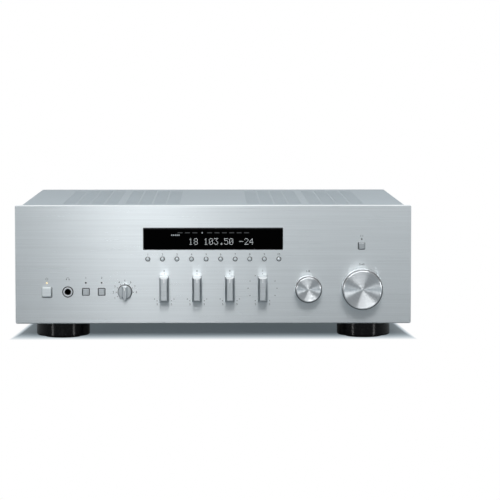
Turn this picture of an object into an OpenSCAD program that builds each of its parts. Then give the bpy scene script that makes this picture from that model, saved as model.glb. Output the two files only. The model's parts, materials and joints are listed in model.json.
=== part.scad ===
// Full-width stereo receiver: aluminium front, folded steel case and the working parts inside.
// X runs to the right of a person facing the front, Y to the back and Z up; the table is at z = 0.

/* [Front panel] */
// Width of the front panel
panel_w = 435; // [430:1:450]
// Height of the front panel
panel_h = 130.4; // [130:0.2:140]
// Thickness of the front panel
panel_t = 5; // [4:0.5:8]
// Corner radius of the front panel's outline
panel_corner_r = 2; // [1:0.5:5]
// Chamfer round the front panel's face
panel_chamfer = 0.9; // [0.3:0.1:2]
// Gap between the table and the front panel's lower edge
floor_gap = 20.6; // [18:0.2:30]

/* [Display] */
// Width of the display window
window_w = 153; // [120:1:160]
// Height of the display window
window_h = 23; // [18:1:28]
// Height of the window's centre above the front panel's lower edge
window_up = 93.1; // [92:0.1:96]
// Corner radius of the window
window_r = 0.8; // [0.4:0.1:2]
// How far the window's face lies behind the panel's face
window_recess = 0.3; // [0.2:0.1:1]
// Width of the display tube
tube_w = 140; // [100:1:145]
// Height of the display tube
tube_h = 27; // [20:1:28]
// Thickness of the display tube
tube_t = 7; // [5:0.5:7]

/* [Small buttons] */
// Distance between neighbouring small buttons
key_pitch = 16; // [13:0.5:17]
// Height of the button row above the front panel's lower edge
key_up = 71.2; // [68:0.2:72]
// Radius of a small button
key_r = 2.2; // [1.8:0.1:2.6]
// Radius of the hole round a small button
key_hole_r = 2.85; // [2.8:0.05:3.2]
// How far a small button stands out of the panel
key_proud = 1.2; // [0.8:0.1:2]
// Travel of a small button
key_travel = 0.5; // [0.3:0.1:0.6]

/* [Tone knobs] */
// Distance between neighbouring tone knobs
tone_pitch = 36; // [34:0.5:38]
// Height of the tone knobs' axes above the front panel's lower edge
tone_up = 38.9; // [37:0.1:41]
// Length of a tone knob's bar
tone_len = 28; // [22:1:30]
// Width of a tone knob's bar
tone_w = 10.4; // [9.5:0.1:13]
// How far a tone knob stands out of the panel
tone_proud = 19; // [15:0.5:19]
// Width of the bevel round a tone knob's front
tone_bevel = 2.3; // [1.5:0.1:3]
// Depth of the bevel round a tone knob's front
tone_bevel_d = 2.6; // [1.5:0.1:4]

/* [Round knobs] */
// Height of the round knobs' axes above the front panel's lower edge
round_up = 38.6; // [38:0.1:41]
// Place of the input knob, to the right of the middle
input_x = 104.2; // [102:0.1:110]
// Radius of the input knob
input_r = 14.75; // [12:0.25:16]
// How far the input knob stands out of the panel
input_proud = 16; // [12:0.5:19]
// Place of the volume knob, to the right of the middle
volume_x = 163.2; // [160:0.1:168]
// Radius of the volume knob
volume_r = 22.3; // [18:0.1:25]
// How far the volume knob stands out of the panel
volume_proud = 19; // [16:0.5:22]
// Radial width of the bevels round a round knob's front
round_bevel = 1.2; // [0.6:0.1:2]

/* [Left controls] */
// Height of the left controls' axes above the front panel's lower edge
left_up = 35.1; // [34:0.1:37]
// Place of the power button, to the left of the middle
power_x = 183; // [181:0.5:185]
// Side of the power button
power_side = 10.7; // [9:0.1:11]
// How far the power button stands out of the panel
power_proud = 4; // [3.5:0.5:6]
// Travel of the power button
power_travel = 2.5; // [1:0.5:3]
// Place of the headphone socket, to the left of the middle
phones_x = 159.9; // [158:0.1:161]
// Radius of the headphone socket's bore
phones_r = 3.3; // [3.2:0.05:3.5]
// Radius of the headphone socket's collar
phones_collar_r = 5.6; // [5:0.1:6]
// Place of the first speaker button, to the left of the middle
speaker_a_x = 140.1; // [139:0.1:142]
// Place of the second speaker button, to the left of the middle
speaker_b_x = 122.8; // [121:0.1:124]
// Side of a speaker button
speaker_side = 7; // [6:0.1:7.5]
// How far a speaker button stands out of the panel
speaker_proud = 1; // [0.6:0.1:2.5]
// Travel of a speaker button
speaker_travel = 3; // [1:0.5:3]
// Place of the record selector, to the left of the middle
selector_x = 97.3; // [96:0.1:99]
// Radius of the record selector
selector_r = 7.3; // [6.5:0.1:8]
// How far the record selector stands out of the panel
selector_proud = 12; // [10:0.5:16]

/* [Direct button] */
// Place of the direct button, to the right of the middle
direct_x = 163.1; // [150:0.1:175]
// Height of the direct button's axis above the front panel's lower edge
direct_up = 85.8; // [84:0.2:90]
// Side of the direct button
direct_side = 6.9; // [6:0.1:8]
// How far the direct button stands out of the panel
direct_proud = 2.5; // [2:0.1:4]
// Travel of the direct button
direct_travel = 1.5; // [0.5:0.1:2]

/* [Lamps] */
// Radius of an indicator lamp
lamp_r = 0.9; // [0.7:0.1:1.2]
// Height of the left lamps above the front panel's lower edge
lamp_up = 45.1; // [44.5:0.1:47]
// Height of the direct lamp above the front panel's lower edge
direct_lamp_up = 93; // [92.5:0.1:96]

/* [Inner front] */
// Thickness of the moulded inner front
inner_t = 3; // [2:0.5:4]
// Depth of the rim round the inner front
rim_d = 16; // [12:1:20]
// Thickness of that rim
rim_t = 2; // [1.5:0.5:3]
// Space between the inner front and the display board
key_board_gap = 9; // [9:0.5:11]
// Space between the inner front and the control boards
control_board_gap = 14; // [14:0.5:16]

/* [Case] */
// Outside width of the top cover
case_w = 425.5; // [424:0.5:430]
// Distance from the panel's face to the cover's rear edge
case_d = 345; // [345:1:380]
// Thickness of the cover's sheet
cover_t = 1; // [0.8:0.1:1.5]
// Outside radius of the cover's long bends
cover_bend_r = 2.5; // [2:0.5:5]
// How far the cover's top lies under the panel's upper edge
cover_drop = 1; // [0.5:0.5:3]
// Width of the flange round the cover's rear
cover_flange = 9; // [8:0.5:10]
// Height of the base pan's underside above the panel's lower edge
base_lift = 2; // [1.5:0.5:4]
// Thickness of the base pan's sheet
base_t = 1.2; // [1:0.1:1.6]
// Height of the base pan's side walls
base_wall = 30; // [20:1:40]
// Thickness of the rear panel's sheet
rear_t = 1.2; // [1:0.1:1.6]

/* [Vents] */
// Length of a vent slot, across the cover
vent_len = 13.8; // [10:0.1:14.5]
// Distance between neighbouring columns of slots
vent_pitch = 15.6; // [15.2:0.1:16]
// Width of a vent slot, along the cover
vent_slot = 4.6; // [3:0.1:6]
// Distance between neighbouring rows of slots
vent_row = 11; // [9:0.5:11.5]
// Rows of slots
vent_rows = 25; // [10:1:25]
// Distance from the middle of the cover to the nearest slots
vent_from = 37.6; // [30:0.1:39]
// Distance between the two blocks of columns in a group
vent_gap = 8.8; // [6:0.1:10]
// Distance from the panel's face to the first row of slots
vent_start = 42; // [36:1:50]
// Number of slots in each side of the cover
side_vents = 14; // [6:1:18]
// Distance between neighbouring side slots
side_vent_pitch = 9; // [7:0.5:10]
// Width of a side slot
side_vent_w = 4; // [3:0.5:5]
// Height of a side slot
side_vent_h = 26; // [16:1:40]
// Distance from the panel's face to the first side slot
side_vent_start = 130; // [110:1:150]
// Height of the side slots above the base pan
side_vent_up = 34; // [30:1:45]
// Number of slots in the base pan
base_vents = 18; // [6:1:20]
// Distance between neighbouring slots in the base pan
base_vent_pitch = 10; // [7:0.5:11]
// Width of a slot in the base pan
base_vent_w = 4; // [3:0.5:5]
// Length of a slot in the base pan
base_vent_len = 70; // [40:1:80]

/* [Feet] */
// Radius of a foot
foot_r = 29.7; // [24:0.1:32]
// Distance of the feet from the middle, to each side
foot_x = 169; // [160:1:175]
// Distance from the panel's face to the front feet's axes
foot_front = 64; // [58:1:80]
// Distance from the front feet's axes to the rear feet's axes
foot_span = 228; // [200:1:235]
// Radius of a foot's rubber pad
pad_r = 21; // [16:0.5:23]
// How far a pad stands out under its foot
pad_proud = 2; // [1:0.5:3]

/* [Terminals] */
// How far the speaker caps reach behind the cover's rear edge
terminal_proud = 18; // [16:0.5:24]
// Radius of a speaker terminal's cap
cap_r = 8; // [6.5:0.1:9]
// Distance between the two posts of a pair
post_pitch = 24; // [20:0.5:26]
// Distance between a left pair and a right pair
post_pair_pitch = 60; // [56:1:64]
// Distance between the two rows of posts
post_row = 38; // [30:1:42]
// Place of the speaker terminals' middle, to the left of the middle
post_x = 72; // [68:1:80]
// Height of the speaker terminals' middle above the base pan
post_up = 62; // [58:1:66]
// Radius of a terminal post
post_r = 3; // [2.5:0.1:3.5]
// Radius of a line socket's barrel
line_r = 4.15; // [4.1:0.05:4.2]
// Length of a line socket's barrel behind the rear panel
line_proud = 9; // [8:0.5:12]
// Distance between neighbouring line sockets
line_pitch = 17; // [16:0.5:18]
// Pairs of line sockets
line_pairs = 8; // [4:1:8]
// Distance between the two rows of line sockets
line_row = 19; // [17:0.5:22]
// Height of the lower row of line sockets above the base pan
line_up = 82; // [76:1:86]

/* [Fits] */
// Radial clearance of a running fit
run_gap = 0.05; // [0.02:0.01:0.1]
// Clearance round a moving button
slide_gap = 0.3; // [0.2:0.05:0.4]
// Clearance between the cover and what it slides over
cover_gap = 0.25; // [0.1:0.05:0.5]
// Clearance round the display window
window_gap = 0.2; // [0.1:0.05:0.3]
// Radius of a control's shaft
shaft_r = 3; // [2.5:0.1:3.2]

/* [Inside] */
// Radius of a filter capacitor
capacitor_r = 17.5; // [15:0.5:19]
// Height of a filter capacitor
capacitor_h = 50; // [35:1:60]
// Number of fins on the heat sink
fin_count = 24; // [10:1:28]
// Thickness of a fin
fin_t = 1.8; // [1.2:0.1:2.5]
// Depth of a fin
fin_d = 26; // [18:1:30]
// Length of the heat sink
sink_w = 225; // [200:1:235]
// Height of the heat sink
sink_h = 92; // [70:1:105]
// Thickness of the heat sink's plate
sink_t = 8; // [6:0.5:10]
// Width of the transformer's core
core_w = 96; // [80:1:104]
// Height of the transformer's core
core_h = 80; // [66:1:86]
// Thickness of the transformer's stack
core_t = 42; // [30:1:50]
// How far the winding stands out before and behind the core
winding_out = 13; // [8:1:16]
// Width of the supply board
supply_w = 124; // [110:1:126]
// Depth of the supply board
supply_d = 110; // [90:1:112]
// Distance between the filter capacitors' axes
capacitor_pitch = 44; // [38:1:48]
// Depth of the amplifier board
amp_d = 107; // [90:1:110]
// How far the amplifier board reaches past the heat sink at each side
amp_over = 5.5; // [2:0.5:8]
// Radius of a large capacitor on the amplifier board
smoother_r = 8; // [5:0.5:9]
// Height of a large capacitor on the amplifier board
smoother_h = 25; // [16:1:30]
// Radius of a small capacitor on the amplifier board
coupler_r = 4; // [2.5:0.5:5]
// Height of a small capacitor on the amplifier board
coupler_h = 12; // [8:1:16]
// Distance between neighbouring power transistors
transistor_pitch = 48; // [30:1:52]
// Width of a power transistor
transistor_w = 16; // [12:1:20]
// Height of a power transistor
transistor_h = 20; // [16:1:26]
// Thickness of a power transistor
transistor_t = 5; // [4:0.5:6]
// Width of the tuner's case
tuner_w = 30; // [24:1:32]
// Depth of the tuner's case
tuner_d = 55; // [40:1:70]
// Height of the tuner's case
tuner_h = 42; // [30:1:44]
// Radius of the volume motor
motor_r = 10.5; // [8:0.5:12]
// Length of the volume motor
motor_len = 24; // [18:1:30]

/* [Hidden] */
$fn = 48;

// Depths, counted along Y from the middle of the overall depth
face_y = -(volume_proud + case_d + terminal_proud) / 2 + volume_proud;
inner_y = face_y + panel_t;
inner_back = inner_y + inner_t;
key_board_y = inner_back + key_board_gap;
control_board_y = inner_back + control_board_gap;
cover_back = face_y + case_d;
rear_y = cover_back - cover_t;
rear_in = rear_y - rear_t;
cap_end = cover_back + terminal_proud;

// Heights
low_z = floor_gap;
base_z = low_z + base_lift;
floor_z = base_z + base_t;
cover_z = low_z + panel_h - cover_drop;
roof_z = cover_z - cover_t;
window_z = low_z + window_up;
key_z = low_z + key_up;
tone_z = low_z + tone_up;
round_z = low_z + round_up;
left_z = low_z + left_up;
direct_z = low_z + direct_up;

// Widths
in_w = case_w - 2 * cover_t - 2 * cover_gap;
plate_t = 1.6;
hole_gap = 1;
switch_front = inner_back + 5.5;
pot_front = inner_back + 3.5;
bush_r = shaft_r + 1.5;
bush_end = inner_y + 1.5;
shaft_end = 1;
stem = 4;
switch_half = 5.5;
pillar_r = 2.5;
key_xs = [for (i = [0:9]) (i - 4.5) * key_pitch];
tone_xs = [for (i = [0:3]) (i - 1.5) * tone_pitch];
flange_r = key_r + 1.2;
flange_t = 1;
dome = 0.4;

// Boards behind the inner front: [left edge, right edge], [lower edge, upper edge]
board_side_gap = 5.5;
board_rim = 20;
key_board_xs = [key_xs[0] - board_rim - 4, key_xs[9] + board_rim + 4];
key_board_zs = [key_z - 11, window_z + window_h / 2 + 8.5];
left_board_xs = [board_side_gap - in_w / 2, -selector_x + board_rim - 1];
left_board_zs = [left_z - board_rim + 2, left_z + board_rim + 4];
tone_board_xs = [tone_xs[0] - board_rim, tone_xs[3] + board_rim];
tone_board_zs = [tone_z - board_rim + 4, tone_z + board_rim - 2];
right_board_xs = [input_x - board_rim - 2, in_w / 2 - board_side_gap];
right_board_zs = [round_z - board_rim - 6, direct_z + board_rim - 4];
pillar_in = 6;
jack_half = 7.5;
selector_half = 11;
tone_half = 8;
input_half = 7;
motor_half = 13;
gear_bush_r = 10;

// Case details
foot_ys = [face_y + foot_front, face_y + foot_front + foot_span];
foot_screw_r = 2;
side_screw_ys = [face_y + 60, rear_y - 50];
side_screw_z = floor_z + 16;
rear_screw_in = 61.5;
rear_screw_xs = [for (s = [-1, 0, 1]) s * (in_w / 2 - rear_screw_in)];
screw_r = 1.5;
screw_head_r = 3.2;
screw_head_h = 2;
screw_len = 7;
hem = 10;
post_z = floor_z + post_up;
line_z = floor_z + line_up;
post_list = [for (row = [1, -1], side = [-1, 1], pole = [-1, 1])
    [-post_x + side * post_pair_pitch / 2 + pole * post_pitch / 2, post_z + row * post_row / 2]];
line_in = 187.5;
line_xs = [for (i = [0:line_pairs - 1]) in_w / 2 - line_in + i * line_pitch];
line_board_in = 18;
line_board_y = rear_in - line_board_in;
line_board_rims = [60, 22, 22, 14];
line_board_xs = [line_xs[0] - line_board_rims[0], line_xs[line_pairs - 1] + line_board_rims[1]];
line_board_zs = [line_z - line_board_rims[2], line_z + line_row + line_board_rims[3]];
aerial_in = 24.5;
aerial_x = in_w / 2 - aerial_in;
aerial_up = 98;
aerial_z = floor_z + aerial_up;
ground_x = aerial_x;
ground_up = 66;
ground_z = floor_z + ground_up;
inlet_in = 29.5;
inlet_x = in_w / 2 - inlet_in;
inlet_up = 42;
inlet_z = floor_z + inlet_up;
inlet_w = 24.4;
inlet_h = 16.6;
inlet_d = 18;
impedance_x = 72;
impedance_up = 14;
impedance_z = floor_z + impedance_up;
impedance_travel = 3;
impedance_w = 4;
impedance_h = 3.4;
terminal_plate_t = 2.5;
aerial_r = 5;
aerial_pin_r = 4.2;
ground_r = 2;
ground_nut_r = 5;
snap_down = 18;
snap_w = 18;
snap_h = 10;

// Inner layout
board_lift = 10;
boss_r = 3;
boss_in = 6;
end_fin_w = 4;
amp_w = sink_w + 2 * amp_over;
// The width that the two boards leave free, and the shares of it at the left and right walls
spare_w = in_w - supply_w - amp_w;
left_share = 0.151;
right_share = 0.294;
sink_x = in_w / 2 - spare_w * right_share - amp_w / 2;
sink_y = 8;
amp_y1 = sink_y - 1;
amp_y0 = amp_y1 - amp_d;
transformer_x = spare_w * left_share + supply_w / 2 - in_w / 2;
transformer_y = -76;
bobbin_w = core_w * 0.56;
supply_y0 = 6;
supply_y1 = supply_y0 + supply_d;
terminal_rim = 13;

// ---- helpers ----------------------------------------------------------------------------

// A box between two opposite corners
module block(lo, hi) { translate(lo) cube(hi - lo); }

// A flat shape drawn in X and Z, extruded along Y from y0 over a length
module along_y(y0, len) {
    translate([0, y0 + len, 0]) rotate([90, 0, 0]) linear_extrude(len) children();
}

// A flat shape drawn in Y and Z, extruded along X from x0 over a length
module along_x(x0, len) {
    translate([x0, 0, 0]) rotate([90, 0, 90]) linear_extrude(len) children();
}

// A cylinder along Y
module rod_y(x, z, r, y0, y1) {
    translate([x, y0, z]) rotate([-90, 0, 0]) cylinder(r = r, h = y1 - y0);
}

// A rounded rectangle, centred
module rounded(w, h, r) {
    square([w - 2 * r, h], center = true);
    square([w, h - 2 * r], center = true);
    for (sx = [-1, 1], sy = [-1, 1]) translate([sx * (w / 2 - r), sy * (h / 2 - r)]) circle(r);
}

// A plate or button whose front edges are chamfered: front at y = 0, centred in X and Z
module chamfered_plate(w, h, t, r, c) {
    intersection() {
        along_y(0, t) rounded(w, h, r);
        along_x(-w / 2, w) polygon([[c, -h / 2], [0, c - h / 2], [0, h / 2 - c], [c, h / 2],
                                    [t, h / 2], [t, -h / 2]]);
        translate([0, 0, -h / 2]) linear_extrude(h)
            polygon([[-w / 2, t], [-w / 2, c], [c - w / 2, 0], [w / 2 - c, 0], [w / 2, c], [w / 2, t]]);
    }
}

// A printed-circuit board standing across the case
module board(xs, y0, zs) { block([xs[0], y0, zs[0]], [xs[1], y0 + plate_t, zs[1]]); }

// Pillars of the inner front that carry a board, in from its corners
module pillars(xs, zs, y1) {
    for (p = board_corners(xs, zs)) rod_y(p[0], p[1], pillar_r, inner_back, y1);
}

// Places of a board's screws, in from its corners
function board_corners(xs, zs) = [for (x = [xs[0] + pillar_in, xs[1] - pillar_in],
                                       z = [zs[0] + pillar_in / 2, zs[1] - pillar_in / 2]) [x, z]];

// The flat outline of what slides inside the cover: its upper corners follow the cover's bends
module inner_outline(z0, z1) {
    r = cover_bend_r - cover_t;
    translate([0, (z0 + z1 - r) / 2]) square([in_w, z1 - z0 - r], center = true);
    translate([0, z1 - r]) square([in_w - 2 * r, 2 * r], center = true);
    for (s = [-1, 1]) translate([s * (in_w / 2 - r), z1 - r]) circle(r);
}

// ---- front ------------------------------------------------------------------------------

module front_cutouts() {
    translate([0, window_z]) rounded(window_w, window_h, window_r);
    for (x = key_xs) translate([x, key_z]) circle(key_hole_r);
    for (x = tone_xs) translate([x, tone_z]) circle(shaft_r + hole_gap);
    for (x = [input_x, volume_x]) translate([x, round_z]) circle(shaft_r + hole_gap);
    translate([-selector_x, left_z]) circle(shaft_r + hole_gap);
    translate([-phones_x, left_z]) circle(phones_collar_r);
    square_cutouts();
    for (p = lamp_places()) translate(p) circle(lamp_r);
}

// Openings for the square buttons
module square_cutouts() {
    g = 2 * slide_gap;
    translate([-power_x, left_z]) rounded(power_side + g, power_side + g, 0.8);
    for (x = [speaker_a_x, speaker_b_x]) translate([-x, left_z])
        rounded(speaker_side + g, speaker_side + g, 0.6);
    translate([direct_x, direct_z]) rounded(direct_side + g, direct_side + g, 0.6);
}

function lamp_places() = [[-power_x, low_z + lamp_up], [-speaker_a_x, low_z + lamp_up],
                          [-speaker_b_x, low_z + lamp_up], [direct_x, low_z + direct_lamp_up]];

module front_panel() color("silver") difference() {
    translate([0, face_y, low_z + panel_h / 2])
        chamfered_plate(panel_w, panel_h, panel_t, panel_corner_r, panel_chamfer);
    along_y(face_y - 1, panel_t + 2) front_cutouts();
}

window_lip = 4;
window_flange = 3.5;
window_flange_t = 2;
inner_low = floor_z;
inner_high = roof_z - cover_gap;

module inner_front() color([0.1, 0.1, 0.11]) difference() {
    union() {
        along_y(inner_y, inner_t) inner_outline(inner_low, inner_high);
        along_y(inner_y, rim_d) difference() {
            inner_outline(inner_low, inner_high);
            translate([0, (inner_low + inner_high) / 2 - rim_t])
                square([in_w - 2 * rim_t, inner_high - inner_low], center = true);
        }
        pillars(key_board_xs, key_board_zs, key_board_y);
        pillars(tone_board_xs, tone_board_zs, control_board_y);
        pillars(left_board_xs, left_board_zs, control_board_y);
        pillars([right_board_xs[0] + 3 * pillar_in, right_board_xs[1]], right_board_zs, control_board_y);
    }
    along_y(inner_y - 1, window_flange_t + 1) translate([0, window_z])
        rounded(window_w + 2 * window_flange + 2 * window_gap,
                window_h + 2 * window_flange + 2 * window_gap, 2);
    along_y(inner_y, inner_t + 1) translate([0, window_z])
        rounded(window_w - 2 * window_lip, window_h - 2, 1);
    for (x = key_xs) rod_y(x, key_z, key_r + slide_gap, inner_y - 1, inner_back + 1);
    for (x = tone_xs) rod_y(x, tone_z, bush_r + slide_gap, inner_y - 1, inner_back + 1);
    for (x = [input_x, volume_x]) rod_y(x, round_z, bush_r + slide_gap, inner_y - 1, inner_back + 1);
    rod_y(-selector_x, left_z, bush_r + slide_gap, inner_y - 1, inner_back + 1);
    rod_y(-phones_x, left_z, phones_collar_r, inner_y - 1, inner_back + 1);
    along_y(inner_y - 1, inner_t + 2) square_cutouts();
    for (p = lamp_places()) rod_y(p[0], p[1], lamp_r, inner_y - 1, inner_back + 1);
}

module display_window() color([0.02, 0.02, 0.02]) union() {
    along_y(face_y + window_recess, panel_t - window_recess + 0.5)
        translate([0, window_z]) rounded(window_w - 2 * window_gap, window_h - 2 * window_gap, window_r);
    along_y(inner_y, window_flange_t) translate([0, window_z])
        rounded(window_w + 2 * window_flange, window_h + 2 * window_flange, 2);
}

tube_y = inner_back + 0.3;

module display_tube() color([0.25, 0.3, 0.3]) {
    along_y(tube_y, tube_t) translate([0, window_z]) rounded(tube_w, tube_h, 1.5);
    translate([tube_w / 2 - 0.5, tube_y + tube_t / 2, window_z]) rotate([0, 90, 0])
        cylinder(r = 1.8, h = 6.5);
}

key_switch_half = 3;
key_stem_r = key_r - 0.7;
key_switch_floor = key_board_y - 0.8;
board_hole_r = 1.2;
tube_block_w = 24;
driver_w = 22;
driver_t = 2.5;
plug_w = 30;
plug_h = 8;
plug_t = 7;

// The display's board: blocks that carry the tube, a switch for each small button, driver and plug
module display_board() color([0.1, 0.35, 0.2]) {
    back = key_board_y + plate_t;
    difference() {
        board(key_board_xs, key_board_y, key_board_zs);
        for (p = board_corners(key_board_xs, key_board_zs))
            rod_y(p[0], p[1], board_hole_r, key_board_y - 1, back + 1);
    }
    for (s = [-1, 1]) translate([s * tube_w * 0.36, 0, 0])
        block([-tube_block_w / 2, tube_y + tube_t, window_z - 10],
              [tube_block_w / 2, key_board_y, window_z + 10]);
    for (x = key_xs) difference() {
        block([x - key_switch_half, switch_front, key_z - key_switch_half],
              [x + key_switch_half, key_board_y, key_z + key_switch_half]);
        rod_y(x, key_z, key_stem_r + slide_gap, switch_front - 1, key_switch_floor);
    }
    block([-driver_w, back, window_z - 8], [0, back + driver_t, window_z + 8]);
    block([plug_w, back, window_z + 6], [2 * plug_w, back + plug_t, window_z + 6 + plug_h]);
}

// Button that slides in a round hole, with a flange behind the inner front and a stem
module small_button(n) color("silver") {
    front = face_y - key_proud;
    flange_at = inner_back + slide_gap - front;
    end = key_switch_floor - key_travel - slide_gap - front;
    translate([key_xs[n], front, key_z]) rotate([-90, 0, 0]) rotate_extrude()
        polygon([[0, 0], [key_r - dome, 0], [key_r, dome], [key_r, flange_at], [flange_r, flange_at],
                 [flange_r, flange_at + flange_t], [key_stem_r, flange_at + flange_t],
                 [key_stem_r, end], [0, end]]);
}

switch_floor = control_board_y - 2;
flange_out = 1.5;

// Square button with a chamfered cap, a flange behind the inner front and a square stem
module square_button(x, z, side, proud, travel) {
    translate([x, face_y - proud, z])
        chamfered_plate(side, side, proud + panel_t + inner_t + slide_gap, 0.5, 0.7);
    block([x - side / 2 - flange_out, inner_back + slide_gap, z - side / 2 - flange_out],
          [x + side / 2 + flange_out, inner_back + slide_gap + flange_t, z + side / 2 + flange_out]);
    block([x - stem / 2, inner_back + slide_gap, z - stem / 2],
          [x + stem / 2, switch_floor - travel - slide_gap, z + stem / 2]);
}

// Body of the push switch behind a square button
module push_switch(x, z) {
    difference() {
        block([x - switch_half, switch_front, z - switch_half],
              [x + switch_half, control_board_y, z + switch_half]);
        block([x - stem / 2 - slide_gap, switch_front - 1, z - stem / 2 - slide_gap],
              [x + stem / 2 + slide_gap, switch_floor, z + stem / 2 + slide_gap]);
    }
}

module power_button() color("silver")
    square_button(-power_x, left_z, power_side, power_proud, power_travel);
module speaker_a_button() color("silver")
    square_button(-speaker_a_x, left_z, speaker_side, speaker_proud, speaker_travel);
module speaker_b_button() color("silver")
    square_button(-speaker_b_x, left_z, speaker_side, speaker_proud, speaker_travel);
module direct_button() color("silver")
    square_button(direct_x, direct_z, direct_side, direct_proud, direct_travel);

// Control with a square body, a bush in the inner front and a bore for its shaft
module control_body(x, z, half_w, half_h) {
    difference() {
        union() {
            block([x - half_w, pot_front, z - half_h], [x + half_w, control_board_y, z + half_h]);
            rod_y(x, z, bush_r, bush_end, pot_front + 1);
        }
        rod_y(x, z, shaft_r + run_gap, bush_end - 1, control_board_y - shaft_end);
    }
}

module left_controls() color([0.1, 0.35, 0.2]) {
    difference() {
        board(left_board_xs, control_board_y, left_board_zs);
        block([-phones_x - jack_half - 0.5, control_board_y - 1, left_z - jack_half - 0.5],
              [-phones_x + jack_half + 0.5, control_board_y + plate_t + 1, left_z + jack_half + 0.5]);
    }
    for (x = [power_x, speaker_a_x, speaker_b_x]) push_switch(-x, left_z);
    control_body(-selector_x, left_z, selector_half, selector_half);
}

module tone_controls() color([0.1, 0.35, 0.2]) {
    board(tone_board_xs, control_board_y, tone_board_zs);
    for (x = tone_xs) control_body(x, tone_z, tone_half, tone_half + 1);
}

module right_controls() color([0.1, 0.35, 0.2]) {
    difference() {
        board(right_board_xs, control_board_y, right_board_zs);
        rod_y(volume_x, round_z, gear_bush_r, control_board_y - 1, control_board_y + plate_t + 1);
    }
    push_switch(direct_x, direct_z);
    control_body(input_x, round_z, input_half, input_half);
    control_body(volume_x, round_z, motor_half, motor_half);
}

motor_box_d = 12;

module volume_motor() color([0.7, 0.7, 0.68]) {
    y0 = control_board_y + plate_t;
    y1 = y0 + motor_box_d;
    block([volume_x - motor_half, y0, round_z - motor_half],
          [volume_x + motor_half, y1, round_z + motor_half]);
    rod_y(volume_x, round_z, gear_bush_r - slide_gap, control_board_y, y0);
    rod_y(volume_x, round_z, motor_r, y1, y1 + motor_len);
    rod_y(volume_x, round_z, 3, y1 + motor_len, y1 + motor_len + 2);
}

jack_len = 30;
jack_lip = 0.8;

module phones_jack() color([0.08, 0.08, 0.08]) difference() {
    union() {
        rod_y(-phones_x, left_z, phones_collar_r, face_y, inner_back + 0.5);
        translate([-phones_x, face_y, left_z]) rotate([90, 0, 0])
            cylinder(r1 = phones_collar_r + 0.6, r2 = phones_collar_r, h = jack_lip);
        block([-phones_x - jack_half, inner_back, left_z - jack_half],
              [-phones_x + jack_half, inner_back + jack_len, left_z + jack_half]);
    }
    rod_y(-phones_x, left_z, phones_r, face_y - 2, inner_back + jack_len - 2);
}

module indicator_lamps() color([0.9, 0.6, 0.2]) for (p = lamp_places()) {
    rod_y(p[0], p[1], lamp_r - run_gap, face_y, inner_back + 0.2);
    rod_y(p[0], p[1], lamp_r + 0.3, inner_back + 0.2, control_board_y);
}

// ---- knobs ------------------------------------------------------------------------------

knob_lift = 0.5;
knob_bore_d = 10;
bore_gap = 0.5;

// The control's shaft, from inside the control to inside the knob
module shaft(x, z, deep = knob_bore_d) {
    rod_y(x, z, shaft_r, face_y - knob_lift - deep + bore_gap, control_board_y - shaft_end - 0.5);
}

// The knob's bore for that shaft
module knob_bore(x, z, deep = knob_bore_d) {
    rod_y(x, z, shaft_r + run_gap, face_y - knob_lift - deep, face_y);
}

groove_half = 0.45;
groove_d = 0.3;
groove_len = 4.4;

// Bar-shaped knob with a bevelled front and a pointer groove at its upper end
module tone_knob(n) color("silver") {
    x = tone_xs[n];
    front = face_y - tone_proud;
    back = face_y - knob_lift;
    difference() {
        intersection() {
            along_y(front, back - front) translate([x, tone_z]) rounded(tone_w, tone_len, 0.8);
            translate([x, front, tone_z]) along_x(-tone_w / 2, tone_w)
                polygon([[0, tone_bevel - tone_len / 2], [0, tone_len / 2 - tone_bevel],
                         [tone_bevel_d, tone_len / 2], [tone_proud, tone_len / 2],
                         [tone_proud, -tone_len / 2], [tone_bevel_d, -tone_len / 2]]);
            translate([x, front, tone_z - tone_len / 2]) linear_extrude(tone_len)
                polygon([[tone_bevel - tone_w / 2, 0], [tone_w / 2 - tone_bevel, 0],
                         [tone_w / 2, tone_bevel_d], [tone_w / 2, tone_proud],
                         [-tone_w / 2, tone_proud], [-tone_w / 2, tone_bevel_d]]);
        }
        knob_bore(x, tone_z);
        translate([x, front, tone_z + tone_len / 2 - tone_bevel + 0.2])
            block([-groove_half, -1, -groove_len], [groove_half, groove_d, 0]);
    }
    shaft(x, tone_z);
}

module bass_knob() tone_knob(0);
module treble_knob() tone_knob(1);
module balance_knob() tone_knob(2);
module loudness_knob() tone_knob(3);

skirt_in = 1.5;
skirt_h = 1.2;
dish_d = 0.25;
lip_in = 1.6 * round_bevel;
knob_wall = 3.5;
knob_face_t = 5.5;

// Turned knob: a short skirt, a straight wall, two bevels, a shallow dish on the front and a hollow back
module round_knob(x, r, proud) color("silver") {
    top = proud - knob_lift;
    difference() {
        translate([x, face_y - knob_lift, round_z]) rotate([90, 0, 0]) rotate_extrude()
            polygon([[0, 0], [r - skirt_in, 0], [r - skirt_in, skirt_h], [r, skirt_h + 0.4],
                     [r, top - round_bevel], [r - round_bevel * 0.75, top - 0.3], [r - lip_in, top],
                     [r - lip_in - 2 * dish_d, top - dish_d], [0, top - dish_d]]);
        knob_bore(x, round_z);
        translate([x, face_y - knob_lift, round_z]) rotate([90, 0, 0]) difference() {
            translate([0, 0, -1]) cylinder(r = r - knob_wall, h = top + 1 - knob_face_t);
            translate([0, 0, -2]) cylinder(r = shaft_r + 3, h = proud);
        }
    }
    shaft(x, round_z);
}

module input_knob() round_knob(input_x, input_r, input_proud);
module volume_knob() round_knob(volume_x, volume_r, volume_proud);

ridge_half = 1.6;
ridge_foot = 3.1;
ridge_tip = 2.6;
tail_out = 0.8;
disc_edge = 0.6;
selector_bore_d = 4.5;

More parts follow.
